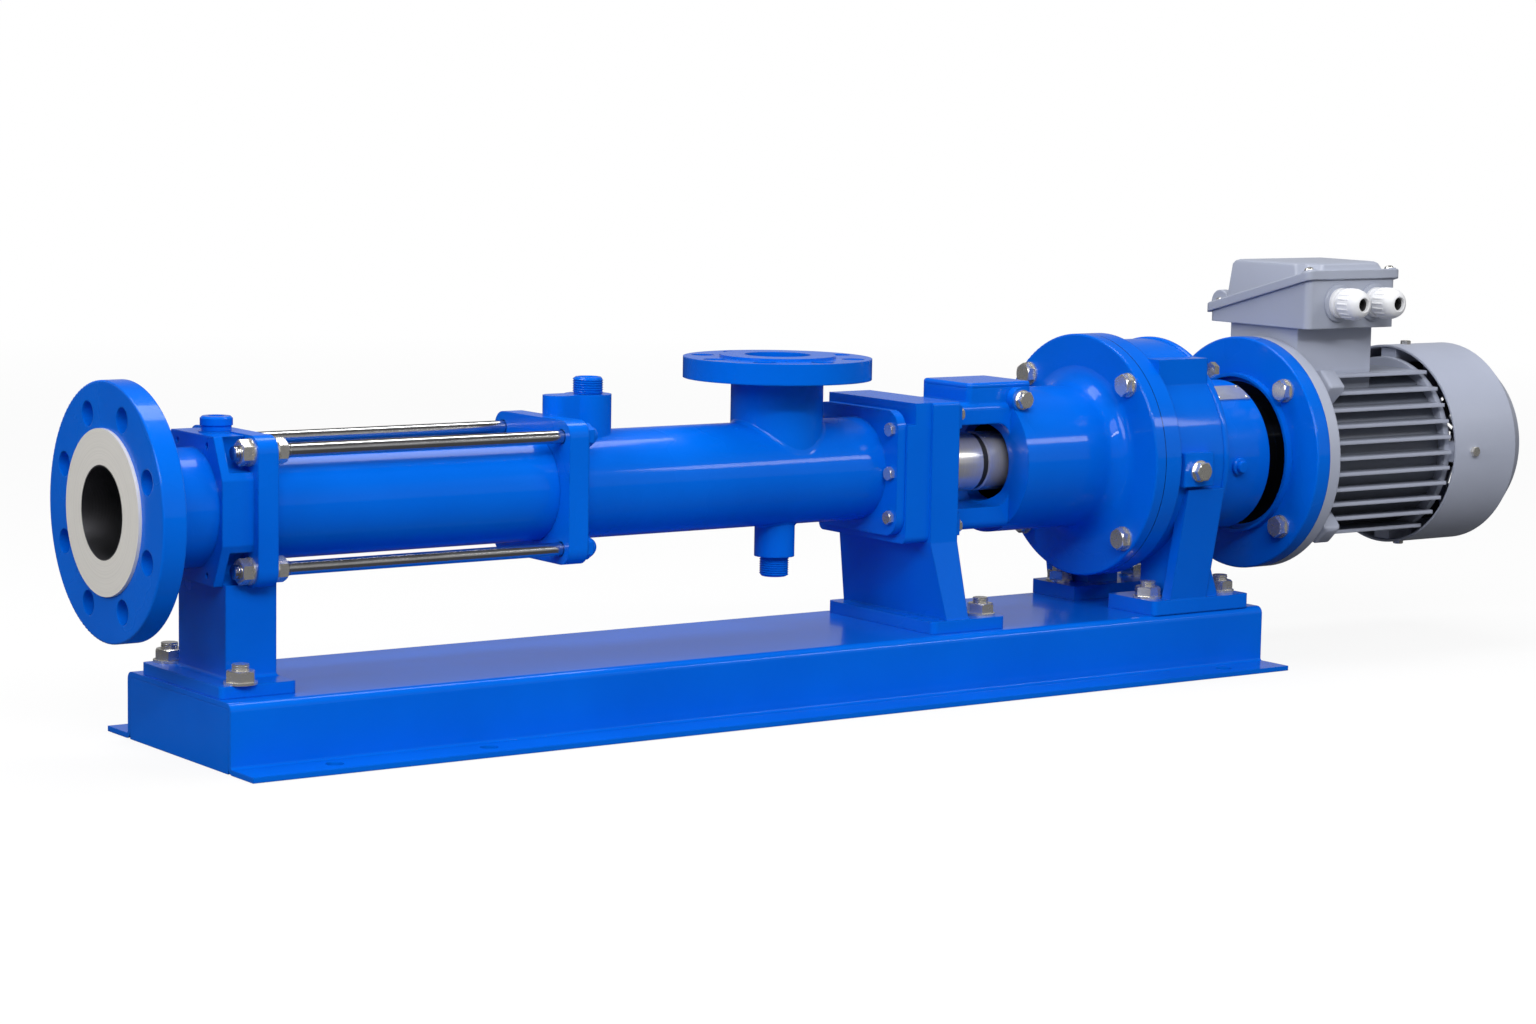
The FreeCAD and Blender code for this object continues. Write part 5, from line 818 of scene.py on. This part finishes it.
ridge = thread_tree.add("GeometryNodeCurveToMesh", {}, {
    "Curve": upright.outputs[0],
    "Profile Curve": diamond.outputs[0],
    "Fill Caps": True,
})
thread_tree.stand_copies(ridge.outputs[0])
print("thread tree:", len(thread_tree.tree.nodes), "nodes")

# %% [markdown]
# ## One tree for copies of a template
# Small screws and ribs are all alike, so one turned template is enough.  The template is only there
# while the tree runs.

# %% The tree that copies a template
copy_tree = GeometryTree("copies", {"Template": "NodeSocketObject", "Finish": "NodeSocketMaterial"})
template_info = copy_tree.add("GeometryNodeObjectInfo", {}, {
    "Object": copy_tree.given_value("Template"),
})
copy_tree.stand_copies(template_info.outputs["Geometry"])


def copies(name, profile, spots, material, sides):
    """Copies of one turned template, made by the tree."""
    points, faces = lathe(profile, sides)
    mesh = make_mesh(name + "_template", points, faces, material)
    template = bpy.data.objects.new(name + "_template", mesh)
    bpy.context.scene.collection.objects.link(template)
    copy_tree.run(name, spots, {"Template": template, "Finish": material})
    bpy.data.objects.remove(template)


print("copy tree:", len(copy_tree.tree.nodes), "nodes")

# %% [markdown]
# ## Reading where the bolts stand
# The CAD nodes already hold every stud and rod.  A thread has to start exactly where a stud leaves
# its nut, so the places are measured on the CAD meshes: points that share an edge belong to the same
# solid, and each solid gives one box.

# %% Boxes of the separate solids of a node
def solids_of(name):
    """The corners of each separate solid of a CAD node."""
    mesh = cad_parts[name].data
    spots = {}
    spot_of = []
    for vertex in mesh.vertices:
        key = tuple(round(value, 6) for value in vertex.co)
        spot_of.append(spots.setdefault(key, len(spots)))
    group_of = list(range(len(spots)))

    def leader(index):
        while group_of[index] != index:
            group_of[index] = group_of[group_of[index]]
            index = group_of[index]
        return index

    for edge in mesh.edges:
        first, second = (leader(spot_of[index]) for index in edge.vertices)
        group_of[first] = second
    corners = {}
    for spot, index in spots.items():
        corners.setdefault(leader(index), []).append(spot)
    boxes = []
    for found in corners.values():
        low = Vector([min(values) for values in zip(*found)])
        high = Vector([max(values) for values in zip(*found)])
        boxes.append((low, high))
    return boxes


foot_bolts = solids_of("foot_bolts")
tie_rods = solids_of("tie_rods")
print(len(foot_bolts), "foot bolts,", len(tie_rods), "tie rods")

# %% [markdown]
# ## Threads
# The foot bolts end a few turns above their nuts.  On the discharge side the tie rods show their
# thread twice: at their tips, and just past the nuts behind the plate.  Each ridge is sunk a little
# into its stud, so that it grows out of the steel.

# %% Threads on studs and rods
STUD_SHOWN = 5.2 * MM
STUD_RADIUS = 5.95 * MM
STUD_RIDGE = 0.5 * MM
STUD_PITCH = 1.75 * MM
stud_spots = []
for low, high in foot_bolts:
    middle = (low + high) / 2
    stud_spots.append((Vector((middle.x, middle.y, high.z - STUD_SHOWN)), UP))
thread_tree.run("foot_bolt_threads", stud_spots, {
    "Radius": STUD_RADIUS, "Ridge": STUD_RIDGE, "Pitch": STUD_PITCH,
    "Length": STUD_SHOWN - STUD_RIDGE, "Finish": zinc,
})

ROD_RADIUS = 4.95 * MM
ROD_RIDGE = 0.45 * MM
ROD_PITCH = 1.5 * MM
ROD_SHOWN = 4.0 * MM
ROD_CHAMFER = 0.4 * MM
ROD_PLATE_END = 110.5
TIE_NUT_TOP = 9.8
nut_top = place(ROD_PLATE_END + TIE_NUT_TOP, 0, 0).x
rod_spots = []
for low, high in tie_rods:
    middle = (low + high) / 2
    rod_spots.append((Vector((low.x + ROD_CHAMFER, middle.y, middle.z)), AHEAD))
    rod_spots.append((Vector((nut_top, middle.y, middle.z)), AHEAD))
thread_tree.run("tie_rod_threads", rod_spots, {
    "Radius": ROD_RADIUS, "Ridge": ROD_RIDGE, "Pitch": ROD_PITCH, "Length": ROD_SHOWN,
    "Finish": rod_steel,
})
print(len(stud_spots), "studs and", len(rod_spots), "rod ends")

# %% [markdown]
# ## Pipe stubs
# Two stubs on the suction casing are threaded all the way, for a hose or a gauge, and are hollow at
# their end.  Each replaces a plain plug of the CAD model.

# %% Threaded pipe stubs on the suction casing
STUB_PITCH = 1.81
STUB_RIDGE = 0.85
STUB_ROOT = 10.9
STUB_SPIGOT = 7.9
STUB_SUNK = 6.0
STUB_BORE = 7.4
STUB_BORE_DEPTH = 7.0
STUB_CHAMFER = 1.2
STUB_BARE = 2.6


def pipe_stub(name, spot, direction, length):
    """A hollow stub with a pipe thread, from the casing's face to its chamfered mouth."""
    core = turned(name, [
        (0, -STUB_SUNK), (STUB_SPIGOT, -STUB_SUNK), (STUB_SPIGOT, 0.2), (STUB_ROOT, 0.2),
        (STUB_ROOT, length - STUB_CHAMFER), (STUB_ROOT - STUB_CHAMFER, length),
        (STUB_BORE + 0.8, length), (STUB_BORE, length - 1),
        (STUB_BORE, length - STUB_BORE_DEPTH), (0, length - STUB_BORE_DEPTH),
    ], [(spot, direction)], smooth_blue)
    thread_start = spot + Vector(direction) * STUB_CHAMFER * MM
    thread_tree.run(name + "_thread", [(thread_start, direction)], {
        "Radius": (STUB_ROOT - 0.05) * MM, "Ridge": STUB_RIDGE * MM, "Pitch": STUB_PITCH * MM,
        "Length": (length - STUB_BARE) * MM, "Finish": smooth_blue,
    })
    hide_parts(name.replace("_stub", "_plug"))


NECK_STATION = 577.0
BOSS_STATION = 400.5
BOSS_LEVEL = 69.0
DRAIN_LEVEL = -66.0
pipe_stub("casing_pipe_stub", place(BOSS_STATION, 0, BOSS_LEVEL), UP, 13.0)
pipe_stub("drain_pipe_stub", place(NECK_STATION, 0, DRAIN_LEVEL), DOWN, 16.0)

# %% [markdown]
# ## Cable glands
# A gland is three turned pieces: a round seat cast on the box, a lock ring and cap in one that
# narrows to the hole for the cable, and a rubber ring.  The ribs of the cap are rows of one rounded
# bead, set on points that look outwards.  No cable is fitted in the picture, so the hole is empty.

# %% Build the glands
BOX_WALL = -62.0
GLAND_LEVEL = 126.0
GLAND_STATIONS = (1123.5, 1165.5)
GLAND_SEAT = [(0, -0.5), (16.5, -0.5), (16.5, 1.6), (15.7, 2.4), (0, 2.4)]
GLAND_BODY = [
    (0, 1.5), (12.6, 1.5), (13.0, 2.6), (13.0, 5.6), (12.6, 6.4), (10.6, 6.6), (10.6, 10.0), (12.2, 10.2),
    (13.0, 11.2), (13.0, 22.0), (12.4, 25.5), (10.9, 28.6), (8.6, 30.9), (6.6, 31.8), (5.9, 31.6),
    (5.6, 30.8), (5.6, 16.0), (0, 16.0),
]
GLAND_RUBBER = [(0, 16.2), (5.5, 16.2), (5.5, 28.6), (4.4, 28.8), (3.9, 28.0), (3.9, 17.0), (0, 17.0)]
gland_centres = [place(station, BOX_WALL, GLAND_LEVEL) for station in GLAND_STATIONS]
gland_spots = [(centre, NEAR) for centre in gland_centres]
turned("gland_seats", GLAND_SEAT, gland_spots, box_grey, sides=48)
gland_bodies = turned("gland_bodies", GLAND_BODY, gland_spots, gland_plastic, sides=48)
turned("gland_rubbers", GLAND_RUBBER, gland_spots, rubber)
print("glands at", [round(centre.x, 3) for centre in gland_centres])

# %% Ribs of the caps
RIBS = 18
BEADS = 6
BEAD = [(0, -0.5), (1.25, -0.5), (1.2, 0.5), (0.7, 0.9), (0, 1.0)]
BEAD_START = 12.5
BEAD_STEP = 2.0
BEAD_REACH = 12.6
LAST_REACH = 12.3
bead_spots = []
for centre in gland_centres:
    for rib in range(RIBS):
        angle = 2 * math.pi * rib / RIBS
        out = Vector((math.cos(angle), 0.0, math.sin(angle)))
        for bead in range(BEADS):
            reach = BEAD_REACH if bead < BEADS - 1 else LAST_REACH
            along = BEAD_START + BEAD_STEP * bead
            bead_spots.append((centre + out * reach * MM + Vector(NEAR) * along * MM, out))
copies("gland_ribs", BEAD, bead_spots, gland_plastic, sides=8)
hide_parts("cable_glands")

# %% [markdown]
# ## The lid of the terminal box
# The lid is a hood on a sloping rim.  Its near corners are notched to make room for screws, its far
# end leans more than its sides, and an ear stands at the far corner.  Rim and hood are lofted between
# outlines: the same loop of points drawn at several heights, each a little smaller than the one
# below, which rounds the shoulders.

# %% Loft helper and outlines
LID_SLOPE = -0.2742
SEAM_AT_MIDDLE = 129.0


def loft(name, loops, material):
    """A closed shape through loops with the same number of points, each a list of places."""
    count = len(loops[0])
    points = [point for loop in loops for point in loop]
    faces = [tuple(reversed(range(count)))]
    for level in range(len(loops) - 1):
        start = level * count
        for index in range(count):
            after = (index + 1) % count
            faces.append((start + index, start + after, start + count + after, start + count + index))
    faces.append(tuple(range(len(points) - count, len(points))))
    return finished(name, make_mesh(name, points, faces, material))


def arc_point(first, corner, last, share):
    """A point at a share of the way along a curve from first to last that a corner pulls."""
    return first * (1 - share) ** 2 + corner * 2 * share * (1 - share) + last * share ** 2


def rounded(corners, radius, steps=5):
    """An outline, going round from corner to corner, with each corner cut to an arc."""
    loop = []
    for index, corner in enumerate(corners):
        corner = Vector(corner)
        before = (Vector(corners[index - 1]) - corner).normalized()
        after = (Vector(corners[(index + 1) % len(corners)]) - corner).normalized()
        first = corner + before * radius
        last = corner + after * radius
        loop += [arc_point(first, corner, last, step / steps) for step in range(steps + 1)]
    return loop


def rectangle(start, stop, half, radius):
    """A rounded rectangle between two stations, with the same half width to each side."""
    return rounded([(start, -half), (stop, -half), (stop, half), (start, half)], radius)


def on_seam(point, above):
    """A place on the sloping seam of the box, moved up by a height."""
    return place(point[0], point[1], SEAM_AT_MIDDLE + LID_SLOPE * point[1] + above)


print("loft ready")

# %% Rim of the lid
RIM_HEIGHT = 8.0
RIM_EDGE = 0.9
rim_outline = rectangle(start=1085.5, stop=1195.5, half=65.0, radius=7.0)
rim_top = rectangle(start=1086.3, stop=1194.7, half=64.2, radius=6.4)
lid_rim = loft("lid_rim", [
    [on_seam(point, 0.0) for point in rim_outline],
    [on_seam(point, RIM_HEIGHT - RIM_EDGE) for point in rim_outline],
    [on_seam(point, RIM_HEIGHT) for point in rim_top],
], box_grey)
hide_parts("terminal_lid")

# %% Hood of the lid
HOOD_LEFT = 1087.6
HOOD_RIGHT = 1193.4
HOOD_NEAR = -62.0
HOOD_FAR = 40.0
HOOD_CORNER = 2.6
FAR_INSET = 1.9
NOTCH = 15.0
NOTCH_INSET = 0.4
NOTCH_LEAN = 3.0
HOOD_FOOT = RIM_HEIGHT - 1.0
HOOD_LEVELS = ((2.0, 155.5), (3.2, 158.3), (5.2, 159.6), (7.4, 159.9))


def hood_outline(inset):
    """The hood seen from above, with notched near corners, drawn in by an inset."""
    left = HOOD_LEFT + inset
    right = HOOD_RIGHT - inset
    near = HOOD_NEAR + inset
    far = HOOD_FAR - FAR_INSET * inset
    notch = NOTCH + NOTCH_INSET * inset
    return rounded([
        (left, far), (left, near + notch), (left + notch - NOTCH_LEAN, near + notch), (left + notch, near),
        (right - notch, near), (right - notch + NOTCH_LEAN, near + notch), (right, near + notch),
        (right, far),
    ], HOOD_CORNER)


hood_loops = [[on_seam(point, HOOD_FOOT) for point in hood_outline(0.0)]]
for inset, level in HOOD_LEVELS:
    loop = []
    for point in hood_outline(inset):
        low = on_seam(point, HOOD_FOOT + 0.1)
        high = place(point[0], point[1], level)
        loop.append(low if low.z > high.z else high)
    hood_loops.append(loop)
loft("lid_hood", hood_loops, box_grey)

# %% Screws and ear of the lid
SEAM_NORMAL = Vector((0.0, -LID_SLOPE, 1.0)).normalized()
SCREW_PLACES = [(1092.8, -57.5), (1188.2, -57.5)]
SCREW_SEAT = [(0, 0), (6.4, 0), (6.0, 2.0), (0, 2.0)]
PAN_HEAD = [(0, 0), (4.2, 0), (4.2, 1.0), (3.6, 2.2), (2.4, 2.9), (1.5, 3.0), (1.1, 1.6), (0, 1.6)]
EAR = [(0, -4), (10.5, -4), (11.0, -3.4), (11.0, 3.4), (10.4, 4.0), (0, 4.0)]
EAR_CENTRE = place(1093.0, 49.5, 120.8)
SCREW_SUNK = 0.1
screw_seats = [(on_seam(point, RIM_HEIGHT - 0.8), tuple(SEAM_NORMAL)) for point in SCREW_PLACES]
turned("lid_screw_seats", SCREW_SEAT, screw_seats, box_grey)
turned("lid_ear", EAR, [(EAR_CENTRE, BACK)], box_grey)
seat_top = SCREW_SEAT[-1][1] - SCREW_SUNK
ear_top = EAR[-1][1] - SCREW_SUNK
lid_screws = [(spot + SEAM_NORMAL * seat_top * MM, direction) for spot, direction in screw_seats]
lid_screws.append((EAR_CENTRE + Vector(BACK) * ear_top * MM, BACK))
copies("lid_screws", PAN_HEAD, lid_screws, zinc, sides=20)

# %% [markdown]
# ## Fillets where round parts meet
# A cast neck never meets a tube in a hard line: a small fillet runs round the join.  Where two
# cylinders cross, the join is a saddle shaped curve, so the fillet is swept along it.  At each angle
# round the neck a short arc leads from the neck's wall down to the tube, and neighbouring arcs are
# joined into a closed ring.  Its back lies hidden in the casting.

# %% Saddle fillets
TUBE_OUTER = 41.2
NECK_RADIUS = 36.5
BOSS_RADIUS = 16.0
ARC_STEPS = 6
ARC_SIDES = 72
WALL_SUNK = 0.2
TUBE_SUNK = 0.15
BACK_SHARE = 0.9
BACK_SUNK = 2.0
FILLET_SHARP = 50


def tube_level(across):
    """The height of the tube's skin above its axis, at a distance to the side."""
    return math.sqrt(max(TUBE_OUTER ** 2 - across ** 2, 0.0))


def saddle_fillet(name, radius, reach, side):
    """A fillet between an upright neck and the casing's tube, above it or below it."""
    points = []
    for index in range(ARC_SIDES):
        angle = 2 * math.pi * index / ARC_SIDES
        out = Vector((math.cos(angle), math.sin(angle)))
        wall = out * radius
        foot = out * (radius + reach)
        level = tube_level(wall.y)
        first = Vector((wall.x - WALL_SUNK * out.x, wall.y - WALL_SUNK * out.y, level + reach))
        corner = Vector((wall.x, wall.y, level))
        last = Vector((foot.x, foot.y, tube_level(foot.y) - TUBE_SUNK))
        arc = [arc_point(first, corner, last, step / ARC_STEPS) for step in range(ARC_STEPS + 1)]
        arc.append(Vector((wall.x * BACK_SHARE, wall.y * BACK_SHARE, level - BACK_SUNK)))
        points += [place(NECK_STATION + spot.x, spot.y, side * spot.z) for spot in arc]
    row = ARC_STEPS + 2
    faces = []
    for index in range(ARC_SIDES):
        start = index * row
        after = ((index + 1) % ARC_SIDES) * row
        for step in range(row):
            next_step = (step + 1) % row
            face = (start + step, start + next_step, after + next_step, after + step)
            faces.append(face if side > 0 else face[::-1])
    finished(name, make_mesh(name, points, faces, cast_blue, FILLET_SHARP))


saddle_fillet("suction_neck_fillet", NECK_RADIUS, 4.0, 1)
saddle_fillet("drain_boss_fillet", BOSS_RADIUS, 3.0, -1)

# %% [markdown]
# ## The last small screws
# A few screws are too small for the CAD model but easy to see in the picture.  Their places were
# read off the picture with the camera above: a point on the picture and one known plane give the
# third coordinate.

# %% Screws of the bracket and the gearbox
SOCKET_HEAD = [(0, 0), (4.6, 0), (4.6, 3.6), (4.2, 4.0), (2.6, 4.0), (2.2, 3.6), (2.2, 1.4), (0, 1.4)]
HEX_HEAD = [(0, -1), (6.6, -1), (6.6, 4.2), (5.6, 5.2), (0, 5.2)]
BRACKET_FACE = 686.0
BRACKET_SCREW = (50.0, 49.0)
LUG_BACK = 980.0
LUG_SCREW = (61.0, 73.0)


def mirrored(station, spot, direction):
    """A place and its mirror image on the other side of the pump."""
    across, level = spot
    return [(place(station, side * across, level), direction) for side in (-1, 1)]


bracket_screws = mirrored(BRACKET_FACE, BRACKET_SCREW, BACK)
copies("bracket_block_screws", SOCKET_HEAD, bracket_screws, zinc, sides=24)
copies("gear_lug_screws", HEX_HEAD, mirrored(LUG_BACK, LUG_SCREW, AHEAD), zinc, sides=6)

# %% Breather and rivets on the small drum
DRUM_RADIUS = 64.0
BREATHER = [(0, -1), (7.4, -1), (7.4, 2.5), (6.4, 3.4), (5.2, 3.6), (5.2, 6.0), (4.4, 7.2), (0, 7.6)]
BREATHER_STATION = 1012.0
BREATHER_TURN = -3.0
RIVET = [(0, -0.2), (1.6, -0.2), (1.5, 0.4), (1.0, 0.8), (0, 1.0)]
RIVET_STATIONS = (1012.0, 1043.0)
RIVET_TURNS = (54.5, 67.5)
PLATE_LIFT = 1.2


def on_drum(station, degrees, lift=0.0):
    """A place on the near side of the gearbox's small drum, and the way out of it."""
    angle = math.radians(degrees)
    out = Vector((0.0, -math.cos(angle), math.sin(angle)))
    reach = DRUM_RADIUS + lift
    return place(station, reach * out.y, DRUM_LEVEL + reach * out.z), tuple(out)


turned("drum_breather", BREATHER, [on_drum(BREATHER_STATION, BREATHER_TURN)], smooth_blue, sides=32)
rivets = [on_drum(station, turn, PLATE_LIFT) for station in RIVET_STATIONS for turn in RIVET_TURNS]
copies("nameplate_rivets", RIVET, rivets, zinc, sides=16)

# %% [markdown]
# ## Lugs of the motor's frame
# The flange screws of the motor end in four cast lugs.  Each one is a short block that grows out of
# the frame between the fins, with a rounded top.  It is lofted outwards along its own radius, so
# the same outline, drawn at four distances from the shaft, gives all four.

# %% Loft the lugs
LUG_START = 1104.9
LUG_END = 1124.0
LUG_HALF_WIDTH = 11.0
LUG_CORNER = 2.0
LUG_LOOPS = ((66.0, 0.0), (93.0, 0.0), (95.8, 1.0), (97.0, 2.8))
for degrees in (45, 135, 225, 315):
    angle = math.radians(degrees)
    out = Vector((math.cos(angle), math.sin(angle)))
    aside = Vector((out.y, -out.x))
    loops = []
    for reach, inset in LUG_LOOPS:
        outline = rectangle(LUG_START + inset, LUG_END - inset, LUG_HALF_WIDTH - inset, LUG_CORNER)
        spots = [(point.x, out * reach + aside * point.y) for point in outline]
        loops.append([place(station, spot.x, DRUM_LEVEL + spot.y) for station, spot in spots])
    loft(f"motor_lug_{degrees}", loops, motor_grey)
